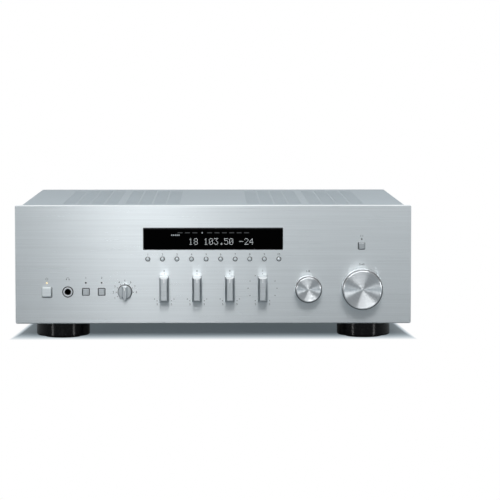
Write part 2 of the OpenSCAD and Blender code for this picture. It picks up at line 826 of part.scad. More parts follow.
// Selector: a round disc with a tapered finger ridge across it, whose lower end runs out to a point
module record_knob() color("silver") {
    disc = selector_proud * 0.55;
    back = selector_proud - knob_lift;
    difference() {
        union() {
            translate([-selector_x, face_y - knob_lift, left_z]) rotate([90, 0, 0]) rotate_extrude()
                polygon([[0, 0], [selector_r, 0], [selector_r, disc - knob_lift - disc_edge],
                         [selector_r - disc_edge, disc - knob_lift], [0, disc - knob_lift]]);
            translate([-selector_x, face_y - selector_proud, left_z]) intersection() {
                along_y(0, back)
                    polygon([[0, -selector_r - tail_out], [ridge_foot, ridge_tip - selector_r],
                             [ridge_foot, selector_r - 2 * disc_edge],
                             [-ridge_foot, selector_r - 2 * disc_edge],
                             [-ridge_foot, ridge_tip - selector_r]]);
                translate([0, 0, -selector_r - tail_out - 1])
                    linear_extrude(2 * (selector_r + tail_out + 1))
                    polygon([[-ridge_half, 0], [ridge_half, 0], [ridge_foot, selector_proud - disc],
                             [ridge_foot, back], [-ridge_foot, back], [-ridge_foot, selector_proud - disc]]);
            }
        }
        knob_bore(-selector_x, left_z, selector_bore_d);
        translate([-selector_x, face_y - selector_proud, left_z])
            block([-groove_half + 0.05, -1, 1], [groove_half - 0.05, groove_d, selector_r + 1]);
    }
    shaft(-selector_x, left_z, selector_bore_d);
}

// ---- case -------------------------------------------------------------------------------

foot_boss_r = 6;

module base_pan() color([0.62, 0.64, 0.66]) difference() {
    union() {
        block([-in_w / 2, inner_y, base_z], [in_w / 2, rear_in, floor_z]);
        for (s = [0, 1]) mirror([s, 0, 0])
            block([in_w / 2 - base_t, inner_y + rim_d, floor_z],
                  [in_w / 2, rear_in - hem, floor_z + base_wall]);
        block([-in_w / 2 + 2 * hem, rear_in - base_t, floor_z],
              [in_w / 2 - 2 * hem, rear_in, floor_z + hem]);
        block([-in_w / 2 + 2 * rim_t, inner_back, floor_z],
              [in_w / 2 - 2 * rim_t, inner_back + base_t, floor_z + hem - 1]);
        for (s = [-1, 1], y = [amp_y0 + boss_in, amp_y1 - boss_in])
            translate([sink_x + s * (amp_w / 2 - boss_in), y, floor_z])
                cylinder(r = boss_r, h = board_lift);
        for (s = [-1, 1], y = [supply_y0 + boss_in, supply_y1 - boss_in])
            translate([transformer_x + s * (supply_w / 2 - boss_in), y, floor_z])
                cylinder(r = boss_r, h = board_lift);
        for (x = [line_board_xs[0] + 8, line_board_xs[1] - 8])
            block([x - boss_in, line_board_y - base_t, floor_z], [x + boss_in, line_board_y, line_board_zs[0]]);
    }
    for (sx = [-1, 1], y = foot_ys) translate([sx * foot_x, y, base_z - 1])
        cylinder(r = foot_screw_r, h = base_t + 2);
    for (sx = [-1, 1], y = side_screw_ys) translate([sx * in_w / 2, y, side_screw_z])
        rotate([0, 90, 0]) cylinder(r = screw_r, h = 6, center = true);
    for (i = [0:base_vents - 1])
        translate([sink_x + (i - (base_vents - 1) / 2) * base_vent_pitch, sink_y - 40, base_z - 1])
            linear_extrude(base_t + 2) square([base_vent_w, base_vent_len], center = true);
}

module rear_panel() color([0.12, 0.12, 0.13]) difference() {
    union() {
        along_y(rear_in, rear_t) inner_outline(base_z, inner_high);
        along_y(rear_in - hem + slide_gap, hem) difference() {
            inner_outline(floor_z, inner_high);
            translate([0, (floor_z + inner_high) / 2 - rear_t])
                square([in_w - 2 * rear_t, inner_high - floor_z], center = true);
        }
    }
    for (p = post_list) rod_y(p[0], p[1], post_r + 2, rear_in - 1, rear_y + 1);
    for (x = line_xs, z = [line_z, line_z + line_row]) rod_y(x, z, line_r + 0.6, rear_in - 1, rear_y + 1);
    rod_y(aerial_x, aerial_z, aerial_r + 0.2, rear_in - 1, rear_y + 1);
    rod_y(ground_x, ground_z, ground_r + 0.4, rear_in - 1, rear_y + 1);
    along_y(rear_in - 1, rear_t + 2) {
        translate([-inlet_x, inlet_z]) square([inlet_w + 4, inlet_h + 4], center = true);
        translate([-impedance_x + impedance_travel / 2, impedance_z])
            square([impedance_travel + impedance_w + 2 * slide_gap,
                    impedance_h + 2 * slide_gap], center = true);
        translate([aerial_x, aerial_z - snap_down]) square([snap_w, snap_h], center = true);
    }
    for (x = rear_screw_xs) rod_y(x, cover_z - cover_flange / 2, screw_r, rear_in - 1, rear_y + 1);
}

// The cover's section in X and Z, shrunk by grow: a block with its two upper corners rounded
module cover_section(grow) {
    w = case_w - 2 * grow;
    r = cover_bend_r - grow;
    high = cover_z - grow;
    translate([0, (floor_z + high - r) / 2]) square([w, high - floor_z - r], center = true);
    translate([0, high - r]) square([w - 2 * r, 2 * r], center = true);
    for (s = [-1, 1]) translate([s * (w / 2 - r), high - r]) circle(r);
}

module vent_rows_2d() {
    for (side = [-1, 1], block_n = [0, 1], col = [0:3], row = [0:vent_rows - 1])
        translate([side * (vent_from + vent_len / 2 + col * vent_pitch
                           + block_n * (4 * vent_pitch - (vent_pitch - vent_len) + vent_gap)),
                   face_y + vent_start + vent_slot / 2 + row * vent_row])
            square([vent_len, vent_slot], center = true);
}

module top_cover() color([0.7, 0.72, 0.74]) difference() {
    union() {
        along_y(inner_y, cover_back - inner_y) difference() {
            cover_section(0);
            cover_section(cover_t);
            translate([0, floor_z]) square([case_w - 2 * cover_t, 20], center = true);
        }
        along_y(rear_y, cover_t) difference() {
            cover_section(cover_t);
            translate([0, (floor_z + cover_z) / 2 - cover_flange])
                square([case_w - 2 * cover_flange, cover_z - floor_z], center = true);
        }
    }
    translate([0, 0, roof_z - 1]) linear_extrude(cover_t + 2) vent_rows_2d();
    for (i = [0:side_vents - 1]) along_x(-case_w, 2 * case_w)
        translate([face_y + side_vent_start + i * side_vent_pitch, floor_z + side_vent_up])
            square([side_vent_w, side_vent_h]);
    for (y = side_screw_ys) translate([0, y, side_screw_z]) rotate([0, 90, 0])
        cylinder(r = screw_r, h = 2 * case_w, center = true);
    for (x = rear_screw_xs) rod_y(x, cover_z - cover_flange / 2, screw_r, rear_y - 1, cover_back + 1);
}

// Pan-head screw along Z with a cross recess: head from z = 0 up, shank down
module screw(len) difference() {
    rotate_extrude() polygon([[0, -len], [screw_r - run_gap, -len], [screw_r - run_gap, 0],
                              [screw_head_r, 0], [screw_head_r, screw_head_h * 0.4],
                              [screw_head_r * 0.6, screw_head_h], [0, screw_head_h]]);
    cross_recess(screw_head_h, screw_head_h * 0.6, screw_head_r * 0.5);
}

// Two crossed slots, cut down from a height
module cross_recess(top, deep, reach) {
    for (a = [0, 90]) translate([0, 0, top - deep]) rotate([0, 0, a])
        linear_extrude(deep + 1) square([2 * reach, 0.7], center = true);
}

module case_screws() color([0.2, 0.2, 0.21]) {
    for (sx = [-1, 1], y = side_screw_ys) translate([sx * case_w / 2, y, side_screw_z])
        rotate([0, sx * 90, 0]) screw(screw_len);
    for (x = rear_screw_xs) translate([x, cover_back, cover_z - cover_flange / 2])
        rotate([-90, 0, 0]) screw(screw_len);
}

// ---- feet -------------------------------------------------------------------------------

pad_seat = 2;
pad_hole_r = 8;
pad_gap = 0.1;
foot_screw_up = 10;
foot_head_r = 3.8;
foot_head_h = 2.6;
foot_edge = 1.2;

module each_foot() { for (sx = [-1, 1], y = foot_ys) translate([sx * foot_x, y, 0]) children(); }

module feet() color([0.03, 0.03, 0.035]) each_foot() rotate_extrude($fn = 96)
    polygon([[foot_screw_r, pad_proud + foot_screw_up], [foot_boss_r, pad_proud + foot_screw_up],
             [foot_boss_r, pad_proud + pad_seat], [pad_r, pad_proud + pad_seat], [pad_r, pad_proud],
             [foot_r - foot_edge, pad_proud], [foot_r, pad_proud + foot_edge], [foot_r, base_z],
             [foot_screw_r, base_z]]);

module foot_pads() color([0.12, 0.12, 0.12]) each_foot() rotate_extrude($fn = 96)
    polygon([[pad_hole_r, 0.8], [pad_hole_r + 0.8, 0], [pad_r - 1, 0], [pad_r - pad_gap, 0.9],
             [pad_r - pad_gap, pad_proud + pad_seat], [pad_hole_r, pad_proud + pad_seat]]);

module foot_screws() color([0.5, 0.5, 0.5]) each_foot() difference() {
    seat = pad_proud + foot_screw_up;
    rotate_extrude()
        polygon([[0, seat - foot_head_h], [foot_head_r, seat - foot_head_h], [foot_head_r, seat],
                 [foot_screw_r - run_gap, seat], [foot_screw_r - run_gap, floor_z + 4], [0, floor_z + 4]]);
    translate([0, 0, seat - foot_head_h]) mirror([0, 0, 1]) cross_recess(0, foot_head_h * 0.6, 2);
}

// ---- inside -----------------------------------------------------------------------------

bracket_t = 2;
cheek_over = 2;
bracket_tab = 10;

// Transformer: a core on a bracket, and a bobbin with two cheeks and the winding between them
module power_transformer() color([0.35, 0.33, 0.3]) translate([transformer_x, transformer_y, floor_z]) {
    bobbin_d = core_t + 2 * winding_out;
    block([-core_w / 2 - bracket_tab, -core_t / 2, 0], [core_w / 2 + bracket_tab, core_t / 2, bracket_t]);
    block([-core_w / 2, -core_t / 2, bracket_t], [core_w / 2, core_t / 2, bracket_t + core_h]);
    translate([0, 0, bracket_t + core_h * 0.17]) linear_extrude(core_h * 0.66)
        rounded(bobbin_w, bobbin_d, 8);
    for (z = [bracket_t + core_h * 0.14, core_h * 0.86]) translate([0, 0, z]) linear_extrude(bracket_t)
        rounded(bobbin_w + 3 * cheek_over, bobbin_d + 2 * cheek_over, 2);
}

relay_size = [30, 20, 16.4];
fuse_size = [26, 16, 13.4];
rectifier_size = [3, 50, 28.4];

// Supply board: relay, fuse holder and the rectifier's plate
module supply_board() color([0.1, 0.35, 0.2]) translate([transformer_x, 0, floor_z + board_lift]) {
    block([-supply_w / 2, supply_y0, 0], [supply_w / 2, supply_y1, plate_t]);
    translate([supply_w / 2 - 42, supply_y1 - boss_in - relay_size.y, plate_t]) cube(relay_size);
    translate([boss_in - supply_w / 2, supply_y1 - boss_in - fuse_size.y, plate_t]) cube(fuse_size);
    translate([supply_w / 2 - 18, supply_y0 + 10, plate_t]) cube(rectifier_size);
}

can_neck = 0.7;

module filter_capacitors() color([0.1, 0.12, 0.3]) for (s = [-1, 1])
    translate([transformer_x - 4 + s * capacitor_pitch / 2, supply_y0 + 2 * capacitor_r - 1,
               floor_z + board_lift + plate_t])
        rotate_extrude() polygon([[0, 0], [capacitor_r - 0.6, 0], [capacitor_r, 0.8], [capacitor_r, 2.5],
            [capacitor_r - can_neck, 3.3], [capacitor_r, 4.1], [capacitor_r, capacitor_h - 1],
            [capacitor_r - 1, capacitor_h], [capacitor_r - 2.5, capacitor_h],
            [capacitor_r - 3, capacitor_h - 0.8], [0, capacitor_h - 0.8]]);

// Extruded sink: one flat plate with fins behind it, the outer two thicker
module heat_sink() color([0.15, 0.15, 0.16]) translate([sink_x, sink_y, floor_z]) linear_extrude(sink_h) {
    translate([-sink_w / 2, 0]) square([sink_w, sink_t]);
    for (i = [0:fin_count - 1])
        translate([-sink_w / 2 + i * (sink_w - fin_t) / (fin_count - 1), sink_t - 0.5])
            square([fin_t, fin_d + 0.5]);
    for (s = [-1, 1]) translate([s * (sink_w - end_fin_w) / 2, (sink_t + fin_d) / 2])
        square([end_fin_w, sink_t + fin_d], center = true);
}

transistor_up = 16;
leg_w = 1.2;
leg_t = 0.6;

// Transistors against the sink's plate, each on three legs that stand on the board
module power_transistors() color([0.06, 0.06, 0.06]) for (i = [-1.5, -0.5, 0.5, 1.5])
    translate([sink_x + i * transistor_pitch, sink_y, floor_z + board_lift + plate_t]) {
        block([-transistor_w / 2, -transistor_t, transistor_up],
              [transistor_w / 2, 0, transistor_up + transistor_h]);
        for (leg = [-1, 0, 1]) translate([leg * transistor_w / 3, -transistor_t / 2, 0])
            block([-leg_w / 2, -leg_t / 2, 0], [leg_w / 2, leg_t / 2, transistor_up + 0.5]);
    }

relay_w = 28;
relay_d = 16;
relay_h = 18.4;
smoother_xs = [38, 60];
smoother_y = 30;
coupler_x = 30;
coupler_y = 66;
coupler_pitch = 14;
plug_y = 44;
plug_d = 10;
plug_up = 24.4;

// Amplifier board: two relays, four large and eight small capacitors, and a plug in the middle
module amplifier_board() color([0.1, 0.35, 0.2]) translate([sink_x, amp_y0, floor_z + board_lift]) {
    block([-amp_w / 2, 0, 0], [amp_w / 2, amp_d, plate_t]);
    for (s = [0, 1]) mirror([s, 0, 0]) translate([0, 0, plate_t]) {
        translate([amp_w / 2 - 2 * boss_in - relay_w - 2, relay_d / 2, 0])
            cube([relay_w, relay_d, relay_h]);
        for (x = smoother_xs) translate([x, smoother_y, 0]) cylinder(r = smoother_r, h = smoother_h);
        for (k = [0:3]) translate([coupler_x + k * coupler_pitch, coupler_y, 0])
            cylinder(r = coupler_r, h = coupler_h);
    }
    block([-plug_w / 2, plug_y, plate_t], [plug_w / 2, plug_y + plug_d, plate_t + plug_up]);
}

chip_w = 24;
chip_h = 16;
chip_t = 3;
chip_pitch = 70;
chip_drop = 4;

// Input board, with two selector chips on its front
module input_board() color([0.1, 0.35, 0.2]) {
    front = line_board_y - plate_t;
    board(line_board_xs, front, line_board_zs);
    for (x = [line_xs[0], line_xs[0] + chip_pitch])
        block([x, front - chip_t, line_z - chip_drop], [x + chip_w, front, line_z + chip_h - chip_drop]);
}

line_half = 6.5;
line_over = 7;
line_bore_r = 1.65;

// One block for each pair of line sockets, upper and lower, with their barrels
module line_sockets() color([0.75, 0.65, 0.35]) for (x = line_xs) {
    block([x - line_half, line_board_y, line_z - line_over],
          [x + line_half, rear_in, line_z + line_row + line_over]);
    for (z = [line_z, line_z + line_row]) difference() {
        rod_y(x, z, line_r, rear_in - 2, rear_y + line_proud);
        rod_y(x, z, line_bore_r, rear_y, rear_y + line_proud + 1);
    }
}

collar_t = 1.2;

module speaker_terminals() color([0.05, 0.05, 0.05]) {
    plate_y = rear_y + terminal_plate_t;
    difference() {
        along_y(rear_y, terminal_plate_t) translate([-post_x, post_z])
            rounded(post_pair_pitch + post_pitch + 2 * terminal_rim, post_row + 2 * terminal_rim, 3);
        for (p = post_list) rod_y(p[0], p[1], post_r, rear_y - 1, plate_y + 1);
    }
    for (p = post_list) {
        rod_y(p[0], p[1], post_r, rear_in - 8, cap_end - 3);
        rod_y(p[0], p[1], post_r + 3, plate_y, plate_y + collar_t);
        rod_y(p[0], p[1], post_r + 2.5, rear_in - 4, rear_in);
    }
}

// Fluted cap that screws on a post
module terminal_cap(n, shade) color(shade) {
    y0 = rear_y + terminal_plate_t + collar_t + slide_gap;
    translate([post_list[n][0], 0, post_list[n][1]]) difference() {
        translate([0, y0, 0]) rotate([-90, 0, 0]) rotate_extrude()
            polygon([[0, 0], [cap_r - 1.5, 0], [cap_r - 0.5, 1], [cap_r, 2], [cap_r, cap_end - y0 - 1],
                     [cap_r - 1, cap_end - y0], [0, cap_end - y0]]);
        rod_y(0, 0, post_r + run_gap, y0 - 1, cap_end - 2.5);
        for (a = [0:30:330]) rotate([0, a, 0]) rod_y(cap_r + 0.3, 0, 1.1, y0 + 3, cap_end + 1);
    }
}

module terminal_cap_1() terminal_cap(0, [0.7, 0.05, 0.05]);
module terminal_cap_2() terminal_cap(1, [0.05, 0.05, 0.05]);
module terminal_cap_3() terminal_cap(2, [0.7, 0.05, 0.05]);
module terminal_cap_4() terminal_cap(3, [0.05, 0.05, 0.05]);
module terminal_cap_5() terminal_cap(4, [0.7, 0.05, 0.05]);
module terminal_cap_6() terminal_cap(5, [0.05, 0.05, 0.05]);
module terminal_cap_7() terminal_cap(6, [0.7, 0.05, 0.05]);
module terminal_cap_8() terminal_cap(7, [0.05, 0.05, 0.05]);

tuner_leg_d = 20;
tuner_leg_t = 1;
tuner_over = 12;
aerial_proud = 12;
ground_proud = 10;
ground_collar_t = 1.5;

// Tuner: a screened case on two legs, a coaxial and a snap-in aerial socket, and the ground post
module tuner_module() color([0.75, 0.76, 0.76]) {
    left = aerial_x - tuner_w / 2 - 1;
    low = aerial_z + tuner_over - tuner_h;
    block([left, rear_in - tuner_d, low], [left + tuner_w, rear_in, low + tuner_h]);
    for (x = [left, left + tuner_w - tuner_leg_t])
        block([x, rear_in - 2 * tuner_leg_d, floor_z], [x + tuner_leg_t, rear_in - tuner_leg_d, low]);
    rod_y(aerial_x, aerial_z, aerial_r, rear_in, rear_y + 3);
    rod_y(aerial_x, aerial_z, aerial_pin_r, rear_y + 3, rear_y + aerial_proud);
    difference() {
        block([aerial_x - snap_w / 2, rear_in, aerial_z - snap_down - snap_h / 2],
              [aerial_x + snap_w / 2, rear_y + 3, aerial_z - snap_down + snap_h / 2]);
        for (s = [-1, 1]) translate([aerial_x + s * 4, 0, aerial_z - snap_down])
            block([-1.5, rear_y - 1, -2], [1.5, rear_y + 4, 2]);
    }
    rod_y(ground_x, ground_z, ground_r, rear_in - 6, rear_y + ground_proud);
    rod_y(ground_x, ground_z, 2 * ground_r, rear_in - 2, rear_in);
    rod_y(ground_x, ground_z, 2 * ground_r, rear_y, rear_y + ground_collar_t);
}

// Knurled thumb nut on the ground post
module ground_nut() color([0.8, 0.8, 0.78]) difference() {
    rod_y(ground_x, ground_z, ground_nut_r, rear_y + ground_collar_t + slide_gap,
          rear_y + ground_proud - 1);
    rod_y(ground_x, ground_z, ground_r + run_gap, rear_y, rear_y + aerial_proud);
    for (a = [0:30:330]) translate([ground_x, 0, ground_z]) rotate([0, a, 0])
        rod_y(ground_nut_r + 0.3, 0, 0.8, rear_y, rear_y + aerial_proud);
}

module impedance_switch() color([0.1, 0.1, 0.1]) translate([-impedance_x, 0, impedance_z])
    block([-impedance_w / 2, rear_in - 2, -impedance_h / 2],
          [impedance_w / 2, rear_y + 2.5, impedance_h / 2]);

inlet_wall = 2;
inlet_flange = 5;
inlet_flange_t = 2;
inlet_corner = 4;
inlet_pin_out = 7;
inlet_pin_half = [1, 2];

// Mains inlet for a double-insulated set: a keyed recess behind a flange, with two flat pins
module mains_inlet() color([0.06, 0.06, 0.06]) translate([-inlet_x, 0, inlet_z]) {
    w = inlet_w / 2;
    h = inlet_h / 2;
    difference() {
        union() {
            along_y(rear_in - inlet_d, inlet_d + rear_t)
                square([inlet_w + 2 * inlet_wall, inlet_h + 2 * inlet_wall], center = true);
            along_y(rear_y, inlet_flange_t)
                rounded(inlet_w + 2 * inlet_flange, inlet_h + 2 * inlet_flange, 2);
        }
        along_y(rear_y - inlet_d + inlet_wall, inlet_d + inlet_wall)
            polygon([[-w, -h], [w, -h], [w, h - inlet_corner], [w - inlet_corner, h],
                     [inlet_corner - w, h], [-w, h - inlet_corner]]);
    }
    for (s = [-1, 1]) translate([s * inlet_pin_out, 0, 0])
        block([-inlet_pin_half.x, rear_y - inlet_d + 1, -inlet_pin_half.y],
              [inlet_pin_half.x, rear_y - 3, inlet_pin_half.y]);
}

// ---- drawing ----------------------------------------------------------------------------

front_panel();
inner_front();
display_window();
display_tube();
display_board();
left_controls();
tone_controls();
right_controls();
volume_motor();
phones_jack();
indicator_lamps();
base_pan();
rear_panel();
top_cover();
case_screws();
feet();
foot_pads();
foot_screws();
power_transformer();
supply_board();
filter_capacitors();
heat_sink();
power_transistors();
amplifier_board();
input_board();
line_sockets();
speaker_terminals();
tuner_module();
mains_inlet();
power_button();
speaker_a_button();
speaker_b_button();
direct_button();
small_button(0);  // small_button_1
small_button(1);  // small_button_2
small_button(2);  // small_button_3
small_button(3);  // small_button_4
small_button(4);  // small_button_5
small_button(5);  // small_button_6
small_button(6);  // small_button_7
small_button(7);  // small_button_8
small_button(8);  // small_button_9
small_button(9);  // small_button_10
record_knob();
bass_knob();
treble_knob();
balance_knob();
loudness_knob();
input_knob();
volume_knob();
terminal_cap_1();
terminal_cap_2();
terminal_cap_3();
terminal_cap_4();
terminal_cap_5();
terminal_cap_6();
terminal_cap_7();
terminal_cap_8();
ground_nut();
impedance_switch();
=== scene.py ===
"""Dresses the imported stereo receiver: finishes for every CAD node, finer knobs and buttons with their print
and pointers, the lit display, the rear print, and a plain studio with its camera and lights. Lengths are in
metres in the CAD's own frame: X to the right of a person facing the front, Y to the back, Z up."""

import json
import math

import bpy
import numpy as np
from bpy.props import FloatProperty, FloatVectorProperty, PointerProperty, StringProperty
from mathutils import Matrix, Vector


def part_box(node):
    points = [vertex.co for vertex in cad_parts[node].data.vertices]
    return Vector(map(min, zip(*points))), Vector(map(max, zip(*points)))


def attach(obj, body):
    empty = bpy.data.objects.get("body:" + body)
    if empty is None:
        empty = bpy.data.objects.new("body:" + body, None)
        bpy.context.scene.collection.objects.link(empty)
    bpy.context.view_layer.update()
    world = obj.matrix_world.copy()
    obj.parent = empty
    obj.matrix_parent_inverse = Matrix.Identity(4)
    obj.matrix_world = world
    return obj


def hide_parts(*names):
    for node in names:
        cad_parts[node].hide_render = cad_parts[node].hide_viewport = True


bl_info = {
    "name": "Stereo receiver dressing",
    "version": (1, 0, 0),
    "blender": (4, 5, 0),
    "location": "3D View > Sidebar > Receiver",
    "description": "Finishes, scales, display and studio for the stereo receiver",
    "category": "Object",
}

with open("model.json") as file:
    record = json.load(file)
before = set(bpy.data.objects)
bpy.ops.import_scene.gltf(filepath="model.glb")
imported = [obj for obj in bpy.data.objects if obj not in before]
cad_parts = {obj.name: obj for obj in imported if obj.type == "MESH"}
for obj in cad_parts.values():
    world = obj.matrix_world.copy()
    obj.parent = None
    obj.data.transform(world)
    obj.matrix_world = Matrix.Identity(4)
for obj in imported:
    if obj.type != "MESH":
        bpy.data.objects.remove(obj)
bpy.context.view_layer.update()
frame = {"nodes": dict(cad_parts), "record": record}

MM = 0.001
TONE_KNOBS = ("bass_knob", "treble_knob", "balance_knob", "loudness_knob")
SMALL_BUTTONS = tuple(f"small_button_{n}" for n in range(1, 11))
TERMINAL_CAPS = tuple(f"terminal_cap_{n}" for n in range(1, 9))


def centre(node):
    """Middle of a CAD node's box, as (x, y, z)."""
    low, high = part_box(node)
    return (low + high) / 2


FACE_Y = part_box("front_panel")[0].y
REAR_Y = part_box("rear_panel")[1].y
LEFT_ROW_Z = centre("power_button").z  # height of the row from the power button to the record selector
FLANGE_Y = FACE_Y + 8.3 * MM  # front of every button's flange, behind the panel
FLANGE_BACK = FLANGE_Y + 1.0 * MM


def metres(name, description, default, low, high, precision=4):
    """A length that a user may change."""
    return FloatProperty(name=name, description=description, default=default, min=low, max=high,
                         unit="LENGTH", precision=precision)


def watts(name, description, default):
    """Power of a light."""
    return FloatProperty(name=name, description=description, default=default, min=0, max=500, unit="POWER")


def paint(name, description, default):
    """A colour that a user may change."""
    return FloatVectorProperty(name=name, description=description, default=default, size=3, min=0, max=1,
                               subtype="COLOR")


class ReceiverSizes(bpy.types.PropertyGroup):
    """Sizes of the printed and inlaid details."""

    print_lift: metres("Print lift", "How far print stands out of its surface", 0.00004, 0.00001, 0.0005, 5)
    figure_height: metres("Figure height", "Height of the figures on the front panel", 0.0023, 0.001, 0.005)
    dot_radius: metres("Dot radius", "Radius of the dots of a scale", 0.00048, 0.0001, 0.001, 5)
    tone_scale_radius: metres(
        "Tone scale radius", "Radius of the dots' circle round a tone knob", 0.0159, 0.012, 0.02)
    selector_scale_radius: metres(
        "Selector scale radius", "Radius of the dots' circle round the selector", 0.0095, 0.008, 0.013)
    selector_figure_radius: metres(
        "Selector figure radius", "Radius of the figures' circle round the selector", 0.0127, 0.01, 0.02)
    digit_pitch: metres("Digit pitch", "Distance between the display's digits", 0.00555, 0.004, 0.008, 5)
    digit_width: metres("Digit width", "Width of a digit of five columns", 0.0046, 0.003, 0.007)
    digit_height: metres("Digit height", "Height of a digit of seven rows", 0.0074, 0.005, 0.012)


class ReceiverColours(bpy.types.PropertyGroup):
    """Colours that a user would change."""

    panel: paint("Front panel", "Brushed aluminium of the front", (0.66, 0.70, 0.72))
    knob: paint("Knobs", "Turned and brushed aluminium of the knobs", (0.70, 0.73, 0.75))
    bar_knob: paint(
        "Bar knobs", "Machined aluminium of the bar knobs and the record selector", (0.60, 0.635, 0.655))
    power_button: paint("Power button", "Machined aluminium of the power button", (0.78, 0.83, 0.85))
    # Darker than the power button's same aluminium: painted shade on the speaker and direct buttons' faces.
    small_button: paint(
        "Square buttons", "Machined aluminium of the speaker and direct buttons", (0.46, 0.49, 0.51))
    cover: paint("Cover", "Silver paint of the folded cover", (0.49, 0.562, 0.608))
    ink: paint("Print", "Grey print on the front panel", (0.03, 0.034, 0.038))
    rear_ink: paint("Rear print", "White print on the rear panel", (0.75, 0.76, 0.77))
    digits: paint("Display digits", "Light of the display's digits", (0.62, 0.66, 0.68))
    amber: paint("Power lamp", "Light of the power lamp", (1.0, 0.72, 0.40))


class ReceiverStage(bpy.types.PropertyGroup):
    """The studio: camera, floor and lights."""

    eye: FloatVectorProperty(
        name="Camera", description="Place of the camera",
        default=(0.001, -2.787, 0.3061), size=3, subtype="TRANSLATION", unit="LENGTH")
    turn: FloatProperty(
        name="Turn", description="How far the camera turns to the right",
        default=math.radians(0.86), subtype="ANGLE")
    dip: FloatProperty(
        name="Dip", description="How far the camera looks down",
        default=math.radians(4.469), subtype="ANGLE")
    lens: FloatProperty(
        name="Lens", description="Focal length on a 36 mm sensor", default=171.93, min=20, max=300,
        unit="CAMERA")
    floor_colour: paint("Floor", "Colour of the floor", (0.33, 0.36, 0.38))
    floor_radius: metres("Floor radius", "Radius of the round floor", 2.1, 0.5, 10)
    ambient: FloatProperty(
        name="Ambient", description="Strength of the light from all round", default=0.24, min=0, max=2)
    side_power: watts("Side boxes", "Power of each soft box at the front", 7)
    high_power: watts("High box", "Power of the narrow box high in front", 3.9)
    wide_power: watts("Wide box", "Power of the wide box high in front", 13.4)
    far_power: watts("Far box", "Power of the box high at the left", 11)
    top_power: watts("Overhead box", "Power of the soft box overhead", 8.4)
    display_text: StringProperty(
        name="Display text", description="Figures that the display shows", default="18 103.50 -24")


# ------------------------ finishes

MIX_FACTOR, MIX_DARK, MIX_LIGHT, MIX_COLOUR = 0, 6, 7, 2  # sockets of a mix node for colours


class Patterns:
    """Builds nodes in a material's or the world's node tree."""

    def __init__(self, tree):
        self.tree = tree

    def node(self, kind, inputs=(), **settings):
        """A node with its settings. Each input is a constant, or another node's output to link from."""
        made = self.tree.nodes.new(kind)
        for name, value in settings.items():
            setattr(made, name, value)
        for name, value in dict(inputs).items():
            if isinstance(value, bpy.types.NodeSocket):
                self.tree.links.new(value, made.inputs[name])
            else:
                made.inputs[name].default_value = value
        return made

    def span(self, factor, low=0.0, high=1.0, start=0.0, end=1.0):
        """factor, from start to end, spread in a straight line over low to high, and level beyond them."""
        sockets = {"Value": factor, "From Min": start, "From Max": end, "To Min": low, "To Max": high}
        return self.node("ShaderNodeMapRange", sockets).outputs["Result"]

    def join(self, operation, first, second=0.0):
        """Two values, or a value and a number, joined by a Math node."""
        return self.node("ShaderNodeMath", {0: first, 1: second}, operation=operation).outputs[0]

    def mix(self, factor, dark, light):
        """Colour that runs from dark to light with factor."""
        sockets = {MIX_FACTOR: factor, MIX_DARK: (*dark, 1.0), MIX_LIGHT: (*light, 1.0)}
        return self.node("ShaderNodeMix", sockets, data_type="RGBA").outputs[MIX_COLOUR]


class Finish(Patterns):
    """A procedural material on Object coordinates, built up one pattern at a time."""

    def __init__(self, name, **sockets):
        self.material = bpy.data.materials.new(name)
        self.material.use_nodes = True
        super().__init__(self.material.node_tree)
        self.shader = self.tree.nodes["Principled BSDF"]
        for socket, value in sockets.items():
            self.shader.inputs[socket.replace("_", " ")].default_value = value

    def feed(self, socket, source):
        """Links a node's output to one of the shader's sockets, and returns it."""
        self.tree.links.new(source, self.shader.inputs[socket])
        return source

    def coords(self, scale=1.0, at=(0, 0, 0)):
        """Object coordinates counted from the point at, times one scale, or one for each axis."""
        scale = np.broadcast_to(scale, 3)
        source = self.node("ShaderNodeTexCoord").outputs["Object"]
        sockets = {"Vector": source, "Location": tuple(-np.array(at) * scale), "Scale": tuple(scale)}
        return self.node("ShaderNodeMapping", sockets).outputs["Vector"]

    def noise(self, scale, detail=2.0, roughness=0.5):
        """Smooth noise from 0 to 1, with about scale lumps to the metre."""
        sockets = {"Vector": self.coords(scale), "Scale": 1.0, "Detail": detail, "Roughness": roughness}
        return self.node("ShaderNodeTexNoise", sockets).outputs["Fac"]

    def cells(self, scale, metric="EUCLIDEAN", jitter=1.0):
        """Distance to the nearest of scattered points, with about scale points to the metre."""
        sockets = {"Vector": self.coords(scale), "Scale": 1.0, "Randomness": jitter}
        return self.node("ShaderNodeTexVoronoi", sockets, distance=metric).outputs["Distance"]

    def waves(self, kind, scale, distortion=0.0, at=(0, 0, 0)):
        """Sine waves from 0 to 1: RINGS round a line along Y through the point at, or BANDS across Y."""
        sockets = {"Vector": self.coords(at=at), "Scale": scale, "Distortion": distortion}
        axis = {f"{kind.lower()}_direction": "Y"}
        return self.node("ShaderNodeTexWave", sockets, wave_type=kind, **axis).outputs["Fac"]

    def colour(self, factor, dark, light):
        """Base colour that runs from dark to light with factor."""
        return self.feed("Base Color", self.mix(factor, dark, light))

    def tone(self, factor, base, swing):
        """Base colour that swings by a share either side of base."""
        low, high = 1 - swing, 1 + swing
        return self.colour(factor, [c * low for c in base], [min(1.0, c * high) for c in base])

    def rough(self, factor, middle, swing):
        """Roughness that swings either side of its middle with factor."""
        self.feed("Roughness", self.span(factor, middle - swing, middle + swing))

    def bump(self, height, strength, depth):
        """A bump of that depth in millimetres."""
        made = self.node("ShaderNodeBump", {"Height": height, "Strength": strength, "Distance": depth * MM})
        self.feed("Normal", made.outputs["Normal"])

    def laid(self, tone, rough, bump):
        """The material, given its tone, its roughness and its bump."""
        self.tone(*tone)
        self.rough(*rough)
        self.bump(*bump)
        return self.material


